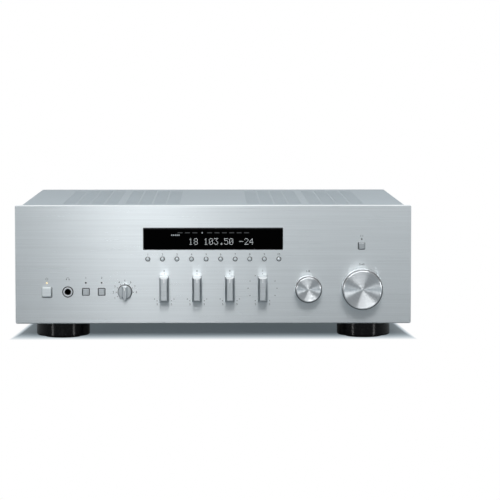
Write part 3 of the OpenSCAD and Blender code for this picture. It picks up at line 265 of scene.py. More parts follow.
def brushed(name, colour, along="X", roughness=0.28, pull=0.9):
    """Brushed metal: hairlines along one axis, coarse in the colour, fine in roughness and height."""
    made = Finish(name, Metallic=1.0, Anisotropic=pull, Anisotropic_Rotation=0.25 if along == "X" else 0.0)
    order = slice(None, None, 1 if along == "X" else -1)
    hair = made.noise((14, 3600, 3600)[order], 3)
    streak = made.noise((9, 800, 800)[order])
    return made.laid((streak, colour, 0.085), (hair, roughness, 0.015), (hair, 0.05, 0.01))


def spun(name, colour, at):
    """Turned metal: tool rings round the piece's own axis, with a radial streak of the light."""
    made = Finish(name, Metallic=1.0, Anisotropic=1.0, Anisotropic_Rotation=0.25)
    tangent = made.node("ShaderNodeTangent", direction_type="RADIAL", axis="Y")
    made.feed("Tangent", tangent.outputs["Tangent"])
    fine, coarse = made.waves("RINGS", 1100, at=at), made.waves("RINGS", 90, 0.3, at)
    return made.laid((coarse, colour, 0.02), (fine, 0.33, 0.03), (fine, 0.04, 0.01))


def painted(name, colour, roughness, metallic=0.0, shine=0.5, grain=2600, strength=0.25, depth=0.03):
    """Sprayed paint: a fine orange peel, and a slow drift of tone over the sheet."""
    made = Finish(name, Metallic=metallic, Specular_IOR_Level=shine)
    peel = made.noise(grain)
    return made.laid((made.noise(9, 3), colour, 0.04), (peel, roughness, 0.05), (peel, strength, depth))


def moulded(name, colour, roughness, coat=0.0):
    """Moulded plastic: a spark-eroded grain, with flow marks that drift in tone."""
    made = Finish(name, Coat_Weight=coat, Coat_Roughness=0.08)
    flow, spark = made.noise((40, 90, 40)), made.noise(1500, 4, 0.6)
    return made.laid((flow, colour, 0.08), (spark, roughness, 0.06), (spark, 0.2, 0.04))


def zinc_plated(name, colour):
    """Galvanised sheet: flat crystals of slightly different tone, and rolling lines along X."""
    made = Finish(name, Metallic=0.9)
    spangle, rolled = made.cells(130), made.noise((9, 900, 900))
    return made.laid((spangle, colour, 0.10), (spangle, 0.38, 0.08), (rolled, 0.12, 0.03))


def circuit_board(name):
    """Lacquered board: copper tracks under green lacquer, and solder spots on a grid."""
    made = Finish(name, Coat_Weight=0.4, Coat_Roughness=0.15)
    tracks, edge = made.cells(260, "MANHATTAN", 0.6), (0.38, 0.42)
    made.colour(made.span(tracks, 0, 1, *edge), (0.03, 0.17, 0.08), (0.015, 0.10, 0.05))
    made.rough(made.cells(393, jitter=0.0), 0.35, 0.10)
    made.bump(made.span(tracks, 1, 0, *edge), 0.3, 0.04)
    return made.material


def laminated(name):
    """Transformer core: a stack of varnished sheets, seen as lines across the stack."""
    made = Finish(name, Metallic=0.55)
    varnish, sheets = made.noise(60, 3), made.waves("BANDS", 320, 0.3)
    return made.laid((varnish, (0.16, 0.14, 0.12), 0.2), (varnish, 0.475, 0.125), (sheets, 0.4, 0.1))


def rubber(name):
    """Matt rubber: a dusty grain with a soft sheen at a slant."""
    made = Finish(name, Sheen_Weight=0.3, Sheen_Roughness=0.5)
    dust = made.noise(900, 4, 0.65)
    return made.laid((dust, (0.028, 0.028, 0.029), 0.25), (dust, 0.85, 0.07), (dust, 0.35, 0.06))


def glossy(name, colour, roughness, coat=1.0, shine=0.5):
    """Polished plastic or acrylic: faint waves in the gloss, and fine dust in the coat."""
    made = Finish(name, Coat_Weight=coat, Coat_Roughness=0.02, Specular_IOR_Level=shine)
    dust, wave = made.noise(1900, 3), made.noise(55, 1)
    return made.laid((dust, colour, 0.12), (dust, roughness + 0.025, 0.025), (wave, 0.02, 0.2))


def lacquered(name, colour):
    """Lacquer on a turned part: polishing lines round it draw a light out upright."""
    made = Finish(name, Anisotropic=0.9, Anisotropic_Rotation=0.25, Specular_IOR_Level=0.3)
    dust, line = made.noise(1900, 3), made.noise((60, 60, 5200))
    return made.laid((dust, colour, 0.12), (dust, 0.22, 0.01), (line, 0.01, 0.003))


def plated(name, colour, roughness):
    """Plated or machined metal: bright, with fine rub marks and a slightly uneven tone."""
    made = Finish(name, Metallic=1.0)
    rub, cloud = made.noise((900, 150, 900), 3), made.noise(120)
    return made.laid((cloud, colour, 0.06), (rub, roughness + 0.01, 0.07), (rub, 0.08, 0.02))


def sleeve(name):
    """Capacitor sleeve: dark blue shrink film, a little uneven where it has drawn tight."""
    made = Finish(name, Coat_Weight=0.6, Coat_Roughness=0.1)
    film = made.noise((220, 220, 900), 3)
    return made.laid((film, (0.02, 0.03, 0.08), 0.2), (film, 0.29, 0.07), (film, 0.15, 0.04))


def tube_glass(name):
    """Display tube: dark green-grey glass over a fine grid of cells."""
    made = Finish(name, Coat_Weight=1.0, Coat_Roughness=0.03)
    grid = made.cells(900, "CHEBYCHEV", 0.0)
    made.colour(grid, (0.02, 0.05, 0.05), (0.05, 0.09, 0.09))
    made.rough(grid, 0.15, 0.05)
    made.bump(grid, 0.05, 0.02)
    return made.material


def printed(name, colour):
    """Screen print: a dense ink with a fine mesh in its tone and gloss."""
    made = Finish(name)
    mesh = made.noise(2400)
    made.tone(mesh, colour, 0.15)
    made.rough(mesh, 0.55, 0.08)
    return made.material


def glowing(name, colour, strength):
    """Lit phosphor or lens: it glows, a little unevenly over its area."""
    made = Finish(name, Emission_Strength=strength, Roughness=0.4)
    made.feed("Emission Color", made.tone(made.noise(700), colour, 0.08))
    return made.material


def slot_finishes(colours):
    """Material for each of the record's material slots."""
    return {
        "brushed_aluminium": brushed("brushed_front", colours.panel),
        "painted_silver": painted("silver_paint", colours.cover, 0.62, metallic=0.1, shine=0.15),
        "zinc_steel": zinc_plated("zinc_sheet", (0.55, 0.57, 0.58)),
        "black_steel": painted("black_powder_coat", (0.025, 0.026, 0.029), 0.55, grain=1300, strength=0.35,
                               depth=0.06),
        "black_plastic": moulded("black_moulding", (0.018, 0.018, 0.02), 0.5),
        "gloss_black": lacquered("black_lacquered_foot", (0.002, 0.002, 0.003)),
        "window": glossy("dark_window", (0.0002, 0.0002, 0.00025), 0.04, coat=0.0, shine=0.01),
        "display_glass": tube_glass("display_tube_glass"),
        "circuit_board": circuit_board("green_lacquer_board"),
        "rubber": rubber("foot_rubber"),
        "lamp": glossy("dark_lens", (0.03, 0.022, 0.018), 0.12),
        "zinc_screw": plated("bright_screw", (0.55, 0.56, 0.57), 0.28),
        "black_screw": plated("black_oxide_screw", (0.05, 0.05, 0.055), 0.4),
        "core_steel": laminated("laminated_core"),
        "capacitor_sleeve": sleeve("shrink_sleeve"),
        "black_aluminium": brushed("black_anodised", (0.035, 0.036, 0.04), along="Z", roughness=0.42),
        "gold_plate": plated("gold_plating", (0.83, 0.60, 0.24), 0.18),
        "tinned_steel": plated("tinned_sheet", (0.62, 0.63, 0.64), 0.3),
        "red_plastic": moulded("red_moulding", (0.42, 0.015, 0.015), 0.35, coat=0.3),
        "black_cap": moulded("black_cap_moulding", (0.02, 0.02, 0.022), 0.38, coat=0.2),
        "turned_aluminium": plated("machined_aluminium", colours.knob, 0.3),
    }


# ------------------------ surfaces

def add_object(name, data):
    """An object in the scene, at the origin."""
    made = bpy.data.objects.new(name, data)
    bpy.context.scene.collection.objects.link(made)
    return made


def add_mesh(name, verts, faces, material):
    """A mesh object from arrays of corners and faces."""
    mesh = bpy.data.meshes.new(name)
    mesh.from_pydata(np.asarray(verts, float).tolist(), [], [list(map(int, f)) for f in faces])
    mesh.validate()
    mesh.materials.append(material)
    return add_object(name, mesh)


def add_piece(name, verts, faces, material, body="root", slot=None, smooth=False):
    """A mesh object which rides on a CAD body."""
    made = add_mesh(name, verts, faces, material)
    if smooth:
        made.data.shade_smooth()
    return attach(made, body)


def add_shapes(name, shapes, material, **where):
    """One piece from several pairs of corners and faces: the faces of each are counted on from the last."""
    starts = np.cumsum([0] + [len(verts) for verts, faces in shapes])
    joined = [np.array(face) + start for (verts, faces), start in zip(shapes, starts) for face in faces]
    return add_piece(name, np.concatenate([verts for verts, faces in shapes]), joined, material, **where)


def facing_front(points, y):
    """Flat points (x, z) as corners at depth y."""
    points = np.asarray(points, float)
    return np.stack([points[..., 0], np.full(points.shape[:-1], y), points[..., 1]], axis=-1)


def outlines_mesh(outline, centres, y):
    """One flat face for each centre: the outline's corners (x, z), which run anticlockwise as seen from the
    front so that the face looks there, are added to each centre in one array sum."""
    corners = np.asarray(centres)[:, None, :] + outline
    verts = facing_front(corners.reshape(-1, 2), y)
    return verts, np.arange(len(verts)).reshape(len(corners), len(outline))


def row_of(count, left, pitch, z):
    """Places (x, z) at equal steps along a row."""
    return np.stack([left + pitch * np.arange(count), np.full(count, z)], axis=1)


def around(angles, radius, x, z):
    """Points on a circle, with angles in degrees clockwise from the top."""
    a = np.radians(np.asarray(angles, float))
    return np.stack([x + radius * np.sin(a), z + radius * np.cos(a)], axis=1)


def ring_outline(radius, sides=16):
    """Corners of a round outline: radius times the cosine and sine of equal steps."""
    angle = np.arange(sides) * 2 * math.pi / sides
    return np.stack([radius * np.cos(angle), radius * np.sin(angle)], axis=1)


def bar_outline(width, height):
    """Corners of an upright bar about its middle."""
    w, h = width / 2, height / 2
    return np.array([[-w, -h], [w, -h], [w, h], [-w, h]])


def rounded_outline(half_w, half_h, radius):
    """Outline of a rectangle with rounded corners: a quarter circle of that radius, turned to each corner,
    is added to the four corner centres in one array sum."""
    bend = np.arange(4)[:, None] * math.pi / 2 + np.linspace(0, math.pi / 2, 8)[None, :]
    corner = np.array([[1, 1], [-1, 1], [-1, -1], [1, -1]]) * (half_w - radius, half_h - radius)
    return (corner[:, None, :] + radius * np.stack([np.cos(bend), np.sin(bend)], axis=-1)).reshape(-1, 2)


def ring_quads(rings, count):
    """Quads that join each closed ring of count corners to the next ring."""
    row, col = np.meshgrid(np.arange(rings - 1), np.arange(count), indexing="ij")
    after = (col + 1) % count
    return np.stack([row * count + col, row * count + after,
                     (row + 1) * count + after, (row + 1) * count + col], axis=-1).reshape(-1, 4)


def inlay_mesh(width, height, x, z, front):
    """Bar inlaid in a face: its outline at the front and again at the back, joined by four sides."""
    outline, depth = bar_outline(width, height) + (x, z), 0.15 * MM
    verts = np.vstack([facing_front(outline, front), facing_front(outline, front + depth)])
    return verts, [(0, 1, 2, 3), (7, 6, 5, 4), *ring_quads(2, 4)[:, ::-1]]


def square_loft(sections, place):
    """Solid through squares with rounded corners: each section (half width, depth) puts its outline round
    the place (x, z) at its depth, quads join each section to the next, and one flat face closes each end."""
    outlines = [rounded_outline(half, half, min(0.7 * MM, half * 0.35)) for half, depth in sections]
    count = len(outlines[0])
    verts = np.vstack([facing_front(outline + place, depth)
                       for outline, (half, depth) in zip(outlines, sections)])
    ends = np.arange(count)[::-1], (len(sections) - 1) * count + np.arange(count)
    return verts, [*ring_quads(len(sections), count), *ends]


def arc_band(start, end, inner, outer, x, z, y):
    """Flat band between two circles from one angle to another, in degrees clockwise from the top."""
    steps = 24
    turns = np.linspace(start, end, steps)
    verts = facing_front(np.vstack([around(turns, inner, x, z), around(turns, outer, x, z)]), y)
    step = np.arange(steps - 1)
    return verts, np.stack([step, step + 1, step + steps + 1, step + steps], axis=1)


def band_between(inner, outer, place, y):
    """Flat band that joins each corner of the inner outline to the same corner of the outer one."""
    return facing_front(np.vstack([inner, outer]) + place, y), ring_quads(2, len(inner))[:, ::-1]


def figures_mesh(words, height, y):
    """Plain figures as flat faces, one shape for each word (text, x, z): the text is set in Blender's own
    face, made a mesh, and moved so that its middle comes to (x, z) in one array sum."""
    curve = bpy.data.curves.new("figures", "FONT")
    curve.size = height * 1.4
    holder = add_object("figures", curve)
    shapes = []
    for word, x, z in words:
        curve.body = word
        mesh = bpy.data.meshes.new_from_object(holder.evaluated_get(bpy.context.evaluated_depsgraph_get()))
        flat = np.empty(len(mesh.vertices) * 3, np.float32)
        mesh.vertices.foreach_get("co", flat)
        flat = flat.reshape(-1, 3)[:, :2]
        flat = flat - (flat.min(0) + flat.max(0)) / 2 + (x, z)
        shapes.append((facing_front(flat, y), [list(p.vertices) for p in mesh.polygons]))
        bpy.data.meshes.remove(mesh)
    bpy.data.objects.remove(holder)
    bpy.data.curves.remove(curve)
    return shapes


def turned_surface(profile, x, z, steps):
    """A surface of revolution about the line (x, z) along Y. The profile's points (radius, depth) go round:
    X = x + radius cos t, Z = z + radius sin t, Y = depth, over a grid of profile points by steps."""
    profile = np.asarray(profile, float)
    t = np.arange(steps) * 2 * math.pi / steps
    radius, depth = profile[:, 0][:, None], profile[:, 1][:, None]
    verts = np.stack([x + radius * np.cos(t), np.broadcast_to(depth, (len(profile), steps)),
                      z + radius * np.sin(t)], axis=-1).reshape(-1, 3)
    return verts, ring_quads(len(profile), steps)


def fan(ring, tip):
    """Triangles from each edge of a ring of corners to the tip."""
    return np.stack([ring, np.roll(ring, -1), np.full(len(ring), tip)], axis=1)


def closed_turning(profile, x, z, steps):
    """A turned solid: the profile runs from the axis at the back to the axis at the front, and its two ends
    are closed with fans of triangles to one point each."""
    profile = np.asarray(profile, float)
    verts, quads = turned_surface(profile[1:-1], x, z, steps)
    back, front = len(verts), len(verts) + 1
    first = np.arange(steps)
    verts = np.vstack([verts, [[x, profile[0, 1], z], [x, profile[-1, 1], z]]])
    return verts, [*quads, *fan(first, back)[:, ::-1], *fan(back - steps + first, front)]


def add_turning(name, profile, x, z, face, edge, painted_shade_rows, steps, **where):
    """A turned piece with smooth walls and crisp edges. The rows of the profile named in the rows argument,
    counted from its second point, have the edge material: a darker metal that paints shade on them."""
    made = add_piece(name, *closed_turning(profile, x, z, steps), face, smooth=True, **where)
    made.data.materials.append(edge)
    row = np.arange(len(made.data.polygons)) // steps
    made.data.polygons.foreach_set("material_index", np.isin(row, painted_shade_rows).astype(np.int32))
    made.data.set_sharp_from_angle(angle=math.radians(20))
    return made


# ------------------------ display figures

DOT_FIGURES = {
    "0": "01110 10001 10011 10101 11001 10001 01110",
    "1": "00100 01100 00100 00100 00100 00100 01110",
    "2": "01110 10001 00001 00010 00100 01000 11111",
    "3": "11111 00010 00100 00010 00001 10001 01110",
    "4": "00010 00110 01010 10010 11111 00010 00010",
    "5": "11111 10000 11110 00001 00001 10001 01110",
    "6": "00110 01000 10000 11110 10001 10001 01110",
    "7": "11111 00001 00010 00100 01000 01000 01000",
    "8": "01110 10001 10001 01110 10001 10001 01110",
    "9": "01110 10001 10001 01111 00001 00010 01100",
    ".": "00000 00000 00000 00000 00000 00110 00110",
    "-": "00000 00000 00000 11111 00000 00000 00000",
    " ": "00000 00000 00000 00000 00000 00000 00000",
}


def dot_places(text, left, low, sizes):
    """Middles (x, z) of the lit dots: each figure is a table of seven rows by five columns, and the places
    of its ones are scaled to the figure's width and height and moved along by the pitch."""
    table = np.array([[list(map(int, row)) for row in DOT_FIGURES[c].split()] for c in text])
    figure, row, column = np.nonzero(table)
    return np.stack([left + figure * sizes.digit_pitch + (column + 0.5) * sizes.digit_width / 5,
                     low + (6.5 - row) * sizes.digit_height / 7], axis=1)


# ------------------------ operators

BRIGHT_METAL = (0.80, 0.83, 0.85)


class RECEIVER_OT_finishes(bpy.types.Operator):
    """Give every CAD node the finish of its material slot"""

    bl_idname = "receiver.finishes"
    bl_label = "Finishes"

    def execute(self, context):
        colours = context.scene.receiver_colours
        by_slot = slot_finishes(colours)
        slots = {part["node"]: part["material_slot"] for part in frame["record"]["subparts"]}
        own = dict.fromkeys(TONE_KNOBS, brushed("bar_knob_metal", colours.bar_knob, pull=0.8))
        own["record_knob"] = brushed("selector_metal", colours.bar_knob, pull=0.6)
        for node, made in frame["nodes"].items():
            made.data.materials.clear()
            made.data.materials.append(own.get(node, by_slot[slots[node]]))
        return {"FINISHED"}


class RECEIVER_OT_display(bpy.types.Operator):
    """Light the display: the line of figures, the dim bars above it and the level block"""

    bl_idname = "receiver.display"
    bl_label = "Display"

    def execute(self, context):
        sizes, text = context.scene.receiver_sizes, context.scene.receiver_stage.display_text
        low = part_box("display_window")[0]
        dots = dot_places(text, low.x + 52.9 * MM, low.z + 8.7 * MM, sizes)
        dot = bar_outline(0.45 * sizes.digit_width / 5, 0.58 * sizes.digit_height / 7)
        bars_z, lit_bar = low.z + 22.0 * MM, 3
        bars = row_of(10, low.x + 43.5 * MM, 8.1 * MM, bars_z)
        level = row_of(5, low.x + 34.3 * MM, 2.0 * MM, bars_z - 2.6 * MM)
        for name, outline, places, light in (
                ("display_figures", dot, dots,
                 glowing("lit_phosphor", context.scene.receiver_colours.digits, 0.75)),
                ("display_dim_bars", bar_outline(5.4 * MM, 1.1 * MM), np.delete(bars, lit_bar, axis=0),
                 glowing("dim_phosphor", (0.016, 0.018, 0.019), 0.5)),
                ("display_level", bar_outline(1.3 * MM, 1.5 * MM), np.vstack([level, bars[lit_bar]]),
                 glowing("half_lit_phosphor", (0.20, 0.22, 0.23), 0.6))):
            add_piece(name, *outlines_mesh(outline, places, low.y - sizes.print_lift), light,
                      slot="display_glass")
        return {"FINISHED"}


class RECEIVER_OT_scales(bpy.types.Operator):
    """Print the dots and figures round the front panel's controls"""

    bl_idname = "receiver.scales"
    bl_label = "Scales"

    def execute(self, context):
        sizes = context.scene.receiver_sizes
        y, ink = FACE_Y - sizes.print_lift, printed("panel_print", context.scene.receiver_colours.ink)
        few, many = (-150, -138, 0, 138, 150), (-150, -120, -90, -60, -30, 0, 60, 90, 120, 150)
        dots, words = [], []
        for knob in TONE_KNOBS:
            c = centre(knob)
            dots.append(around(many if knob == "loudness_knob" else few, sizes.tone_scale_radius, *c.xz))
            words += [("0", c.x, c.z + sizes.tone_scale_radius + 3.2 * MM),
                      *(("5", *place) for place in around([-156, 156], 19.2 * MM, *c.xz))]
        c, positions = centre("record_knob"), np.arange(-120, 91, 30)
        dots.append(around(positions, sizes.selector_scale_radius, *c.xz))
        words += [(str(number), *place) for number, place in
                  enumerate(around(positions, sizes.selector_figure_radius, *c.xz), 1)]
        for number, button in enumerate(SMALL_BUTTONS, 1):
            words.append((str(number), centre(button).x, centre(button).z + 5.2 * MM))
        for knob, text in (("input_knob", "1-8"), ("volume_knob", "0-60")):
            words.append((text, centre(knob).x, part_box(knob)[1].z + 4.3 * MM))
        for button, text in (("speaker_a_button", "1"), ("speaker_b_button", "2")):
            words.append((text, centre(button).x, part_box("power_button")[1].z + 8.6 * MM))
        words.append(("1:1", centre("direct_button").x, centre("direct_button").z + 10.6 * MM))
        add_piece("scale_dots", *outlines_mesh(ring_outline(sizes.dot_radius), np.vstack(dots), y), ink)
        add_shapes("scale_figures", figures_mesh(words, sizes.figure_height, y), ink)
        return {"FINISHED"}


# How far each point of a round knob's front lies inside its wall and behind its face, in millimetres.
KNOB_FRONT = np.array([
    (0, 1.5), (0.15, 1.1), (1.15, 0.35), (1.25, 0.3), (2.15, 0.02), (2.25, 0), (2.4, 0.12), (2.75, 0.2)])


class RECEIVER_OT_round_knobs(bpy.types.Operator):
    """Turn the input and volume knobs: straight wall, steep bevel darkened with painted shade, bright chamfer
    and spun face
    """

    bl_idname = "receiver.round_knobs"
    bl_label = "Round knobs"

    def execute(self, context):
        # A darker copy of the knob's metal on the steep bevel at the rim: painted shade and painted dark
        # reflection.
        edge = plated("knob_edge_metal", (0.22, 0.23, 0.24), 0.34)
        for knob in ("input_knob", "volume_knob"):
            (x, _, z), (low, high) = centre(knob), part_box(knob)
            radius, front, back = (high.x - low.x) / 2, low.y, FACE_Y - 0.5 * MM
            hub = radius - 1.5 * MM
            profile = [(0, back), (hub, back), (hub, back - 1.2 * MM), (radius, back - 1.6 * MM),
                       *((radius, front) + KNOB_FRONT * (-MM, MM)), (0, front + 0.2 * MM)]
            finish = spun(f"turned_{knob}", context.scene.receiver_colours.knob, (x, 0, z))
            piece = add_turning(f"{knob}_turning", profile, x, z, finish, edge, painted_shade_rows=(3, 4, 5),
                                steps=192, body=knob, slot="turned_aluminium")
            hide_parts(knob)
        return {"FINISHED"}


class RECEIVER_OT_small_buttons(bpy.types.Operator):
    """Turn the small buttons: a bright domed cap whose wall and chamfer are darkened with painted shade, the
    flange and the stem
    """

    bl_idname = "receiver.small_buttons"
    bl_label = "Small buttons"

    def execute(self, context):
        metal = brushed("small_cap_metal", context.scene.receiver_colours.power_button, pull=0.6)
        # A dark copy of the cap's metal on its wall and chamfer: painted shade.
        dark = plated("cap_edge_metal", (0.10, 0.105, 0.11), 0.4)
        bright = plated("button_bush_metal", BRIGHT_METAL, 0.34)
        stem, flange, cap = 1.5 * MM, 3.4 * MM, 2.2 * MM
        crown, crown_height, half_angle = 1.8 * MM, 0.14 * MM, 0.5
        bend = np.linspace(half_angle, 0, 5)[:-1]
        dome = np.stack([crown * np.sin(bend) / math.sin(half_angle),
                         crown_height * (1 - np.cos(bend)) / (1 - math.cos(half_angle))], axis=1)
        bush = np.array([(2.8, 0.6), (2.8, -0.02), (2.62, -0.02), (2.62, 0.6)]) * MM + (0, FACE_Y)
        for node in SMALL_BUTTONS:
            (x, _, z), (low, high) = centre(node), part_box(node)
            profile = [(0, high.y), (stem, high.y), (stem, FLANGE_BACK), (flange, FLANGE_BACK),
                       (flange, FLANGE_Y), (cap, FLANGE_Y), (cap, low.y + 0.5 * MM),
                       (1.84 * MM, low.y + 0.2 * MM), *(dome + (0, low.y)), (0, low.y)]
            piece = add_turning(f"{node}_cap", profile, x, z, metal, dark, painted_shade_rows=(4, 5), steps=48,
                                body=node, slot="brushed_aluminium")
            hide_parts(node)
            add_piece(f"{node}_bush", *turned_surface(bush, x, z, 48), bright, slot="brushed_aluminium")
        return {"FINISHED"}


class RECEIVER_OT_square_buttons(bpy.types.Operator):
    """Shape the square buttons: a flat cap with a chamfer, the flange and the square stem"""

    bl_idname = "receiver.square_buttons"
    bl_label = "Square buttons"

    def execute(self, context):
        colours = context.scene.receiver_colours
        # The speaker and direct buttons' darker metal is painted shade on their faces.
        small = brushed("square_button_metal", colours.small_button)
        power = brushed("power_button_metal", colours.power_button)
        stem, overhang = 2.0 * MM, 1.5 * MM
        for node, chamfer, metal in (
                ("power_button", 0.9 * MM, power), ("speaker_a_button", 0.5 * MM, small),
                ("speaker_b_button", 0.5 * MM, small), ("direct_button", 0.8 * MM, small)):
            low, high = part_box(node)
            flange = (high.x - low.x) / 2
            cap = flange - overhang
            sections = [(stem, high.y), (stem, FLANGE_BACK), (flange, FLANGE_BACK), (flange, FLANGE_Y),
                        (cap, FLANGE_Y), (cap, low.y + chamfer), (cap - chamfer, low.y)]
            piece = add_piece(f"{node}_cap", *square_loft(sections, centre(node).xz), metal, body=node,
                              slot="brushed_aluminium")
            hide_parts(node)
        return {"FINISHED"}


class RECEIVER_OT_phones_ring(bpy.types.Operator):
    """Turn the bright ring on the headphone socket's dark collar"""

    bl_idname = "receiver.phones_ring"
    bl_label = "Phones ring"

    def execute(self, context):
        section = np.array([(3.8, -0.02), (5.05, -0.02), (5.05, -0.1), (4.85, -0.24), (3.75, -0.24),
                            (3.55, -0.1), (3.55, 1.4), (3.8, -0.02)]) * MM + (0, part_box("phones_jack")[0].y)
        made = add_piece("phones_ring", *turned_surface(section, centre("phones_jack").x, LEFT_ROW_Z, 96),
                         plated("phones_ring_metal", BRIGHT_METAL, 0.34), slot="zinc_steel", smooth=True)
        made.data.set_sharp_from_angle(angle=math.radians(30))
        return {"FINISHED"}


# Bands of painted shade round the gaps on the panel, in millimetres: how far the node's box reaches past the
# inner outline, the band's width at the sides and at the top, the two corner radii, and the slide of the
# outer outline towards the side where the shade falls.
PANEL_GAP_SHADES = (
    ("power_button", 1.46, (0.46, 0.46), 0.7, 1.1, (0.15, -0.4)),
    ("speaker_a_button", 1.46, (0.71, 0.71), 0.7, 1.1, (0, 0.1)),
    ("speaker_b_button", 1.46, (0.71, 0.71), 0.7, 1.1, (0, 0.1)),
    ("direct_button", 1.46, (0.56, 0.56), 0.7, 1.1, (-0.25, -0.3)),
    ("display_window", 3.7, (0.62, 0.95), 0.8, 1.0, (-0.33, 0.4)),
)


class RECEIVER_OT_surrounds(bpy.types.Operator):
    """Lay painted shade round the buttons, the record selector and the window: dark bands in and beside their
    gaps
    """

    bl_idname = "receiver.surrounds"
    bl_label = "Surrounds"

    def execute(self, context):
        on_panel = FACE_Y - context.scene.receiver_sizes.print_lift
        # Dark rings in the small buttons' gaps and round the selector, and dark bands round the square
        # buttons and the window: painted shade.
        bands = [band_between(ring_outline(2.24 * MM, 48), ring_outline(2.6 * MM, 48), centre(node).xz,
                              FACE_Y + 0.1 * MM) for node in SMALL_BUTTONS]
        selector = (centre("record_knob").x + 0.15 * MM, LEFT_ROW_Z + 0.1 * MM)
        inside, outside = ring_outline(7.2 * MM, 96), ring_outline(8.1 * MM, 96)
        bands.append(band_between(inside, outside, selector, on_panel))
        for node, past, width, inner, outer, shade_slide in PANEL_GAP_SHADES:
            low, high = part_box(node)
            half = np.array((high - low).xz) / 2 - past * MM
            inside = rounded_outline(*half, inner * MM)
            outside = rounded_outline(*(half + np.array(width) * MM), outer * MM) + np.array(shade_slide) * MM
            bands.append(band_between(inside, outside, centre(node).xz, on_panel))
        add_shapes("button_surrounds", bands, moulded("button_surround", (0.012, 0.013, 0.014), 0.6),
                   slot="black_plastic")
        return {"FINISHED"}


class RECEIVER_OT_symbols(bpy.types.Operator):
    """Print the plain power symbol and headphones sign over their controls"""

    bl_idname = "receiver.symbols"
    bl_label = "Symbols"

    def execute(self, context):
        y, z = FACE_Y - context.scene.receiver_sizes.print_lift, LEFT_ROW_Z + 14.3 * MM
        power_x, phones_x = centre("power_button").x, centre("phones_jack").x
        shapes = [arc_band(38, 322, 1.1 * MM, 1.4 * MM, power_x, z, y),
                  arc_band(-90, 90, 1.3 * MM, 1.6 * MM, phones_x, z, y)]
        for wide, tall, x, up in ((0.28, 1.5, power_x, 1.0), (0.75, 1.3, phones_x - 1.45 * MM, -0.65),
                                  (0.75, 1.3, phones_x + 1.45 * MM, -0.65)):
            shapes.append(outlines_mesh(bar_outline(wide * MM, tall * MM), [[x, z + up * MM]], y))
        add_shapes("panel_symbols", shapes, printed("symbol_print", context.scene.receiver_colours.ink))
        return {"FINISHED"}


class RECEIVER_OT_rear_print(bpy.types.Operator):
    """Print plain figures and signs by the rear panel's sockets, terminals, switch and ground post"""

    bl_idname = "receiver.rear_print"
    bl_label = "Rear print"

    def execute(self, context):
        y = REAR_Y + context.scene.receiver_sizes.print_lift
        pitch, gap, aside = 17 * MM, 3.4 * MM, 8 * MM
        sockets, top = centre("line_sockets").x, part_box("line_sockets")[1].z + 4.6 * MM
        words = [(str(8 - n), *place) for n, place in enumerate(row_of(8, sockets - 3.5 * pitch, pitch, top))]
        plate_low, plate_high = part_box("speaker_terminals")
        for number, cap in enumerate(TERMINAL_CAPS):
            z = plate_high.z + gap if number < 4 else plate_low.z - gap
            words.append(("+-"[number % 2], centre(cap).x, z))
        words += [(text, plate_low.x - 4.5 * MM, centre(cap).z) for text, cap in
                  (("1", "terminal_cap_1"), ("2", "terminal_cap_5"))]
        switch, post = centre("impedance_switch"), centre("ground_nut")
        words += [("4", switch.x - aside, switch.z), ("8", switch.x + aside, switch.z)]
        # The print is laid out as seen from behind, with X to the left, and mirrored at the end.
        signs = figures_mesh([(text, -x, z) for text, x, z in words], 3.0 * MM, y)
        for wide, tall, up in ((0.4, 2.2, -7.4), (3.6, 0.4, -8.7), (2.4, 0.4, -9.6), (1.2, 0.4, -10.5)):
            signs.append(outlines_mesh(bar_outline(wide * MM, tall * MM), [[-post.x, post.z + up * MM]], y))
        add_shapes("rear_figures", [(verts * (-1, 1, 1), faces) for verts, faces in signs],
                   printed("rear_panel_print", context.scene.receiver_colours.rear_ink))
        return {"FINISHED"}


class RECEIVER_OT_pointers(bpy.types.Operator):
    """Inlay the pointer lines of the tone knobs and the record selector"""

    bl_idname = "receiver.pointers"
    bl_label = "Pointers"

    def execute(self, context):
        white = brushed("pointer_inlay", (0.95, 0.96, 0.97))
        lines = [(knob, 0.84 * MM, 4.3 * MM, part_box(knob)[1].z - 4.4 * MM) for knob in TONE_KNOBS]
        lines.append(("record_knob", 0.76 * MM, 3.6 * MM, LEFT_ROW_Z + 4.2 * MM))
        for knob, wide, tall, z in lines:
            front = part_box(knob)[0].y + context.scene.receiver_sizes.print_lift
            bar = inlay_mesh(wide, tall, centre(knob).x, z, front)
            add_piece(f"{knob}_pointer", *bar, white, body=knob)
        return {"FINISHED"}


class RECEIVER_OT_lamps(bpy.types.Operator):
    """Light the power lamp with a small domed lens"""

    bl_idname = "receiver.lamps"
    bl_label = "Lamps"

    def execute(self, context):
        low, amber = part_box("indicator_lamps")[0], context.scene.receiver_colours.amber
        x, z = centre("power_button").x, low.z + 0.9 * MM
        radius, height, steps = 0.85 * MM, 0.35 * MM, 24
        bend = np.linspace(0, math.pi / 2, 7)
        profile = np.stack([radius * np.cos(bend), low.y - height * np.sin(bend) - 0.01 * MM], axis=1)
        verts, quads = turned_surface(profile[:-1], x, z, steps)
        tip = len(verts)
        faces = [*quads, *fan(tip - steps + np.arange(steps), tip)]
        add_piece("power_lamp_lens", np.vstack([verts, [[x, profile[-1, 1], z]]]), faces,
                  glowing("amber_lens", amber, 1.0), slot="lamp", smooth=True)
        return {"FINISHED"}


# Each soft box's name, place, target, width and height, and the stage's property with its power.
SOFT_BOXES = (
    ("left", (-1.75, -1.75, 0.23), (0, -0.1, 0.06), (0.3, 0.44), "side_power"),
    ("right", (1.75, -1.75, 0.23), (0, -0.1, 0.06), (0.3, 0.44), "side_power"),
    ("high", (-0.15, -2.1, 0.95), (-0.08, -0.17, 0.1), (0.2, 0.9), "high_power"),
    ("wide", (0.33, -2.1, 1.5), (0.1, -0.17, 0.1), (1.0, 0.6), "wide_power"),
    ("far_left", (-0.95, -2.1, 1.4), (0.1, -0.17, 0.1), (0.8, 0.6), "far_power"),
    ("top", (0.5, -0.4, 1.5), (0.5, -0.4, 0.0), (2.4, 1.6), "top_power"),
)
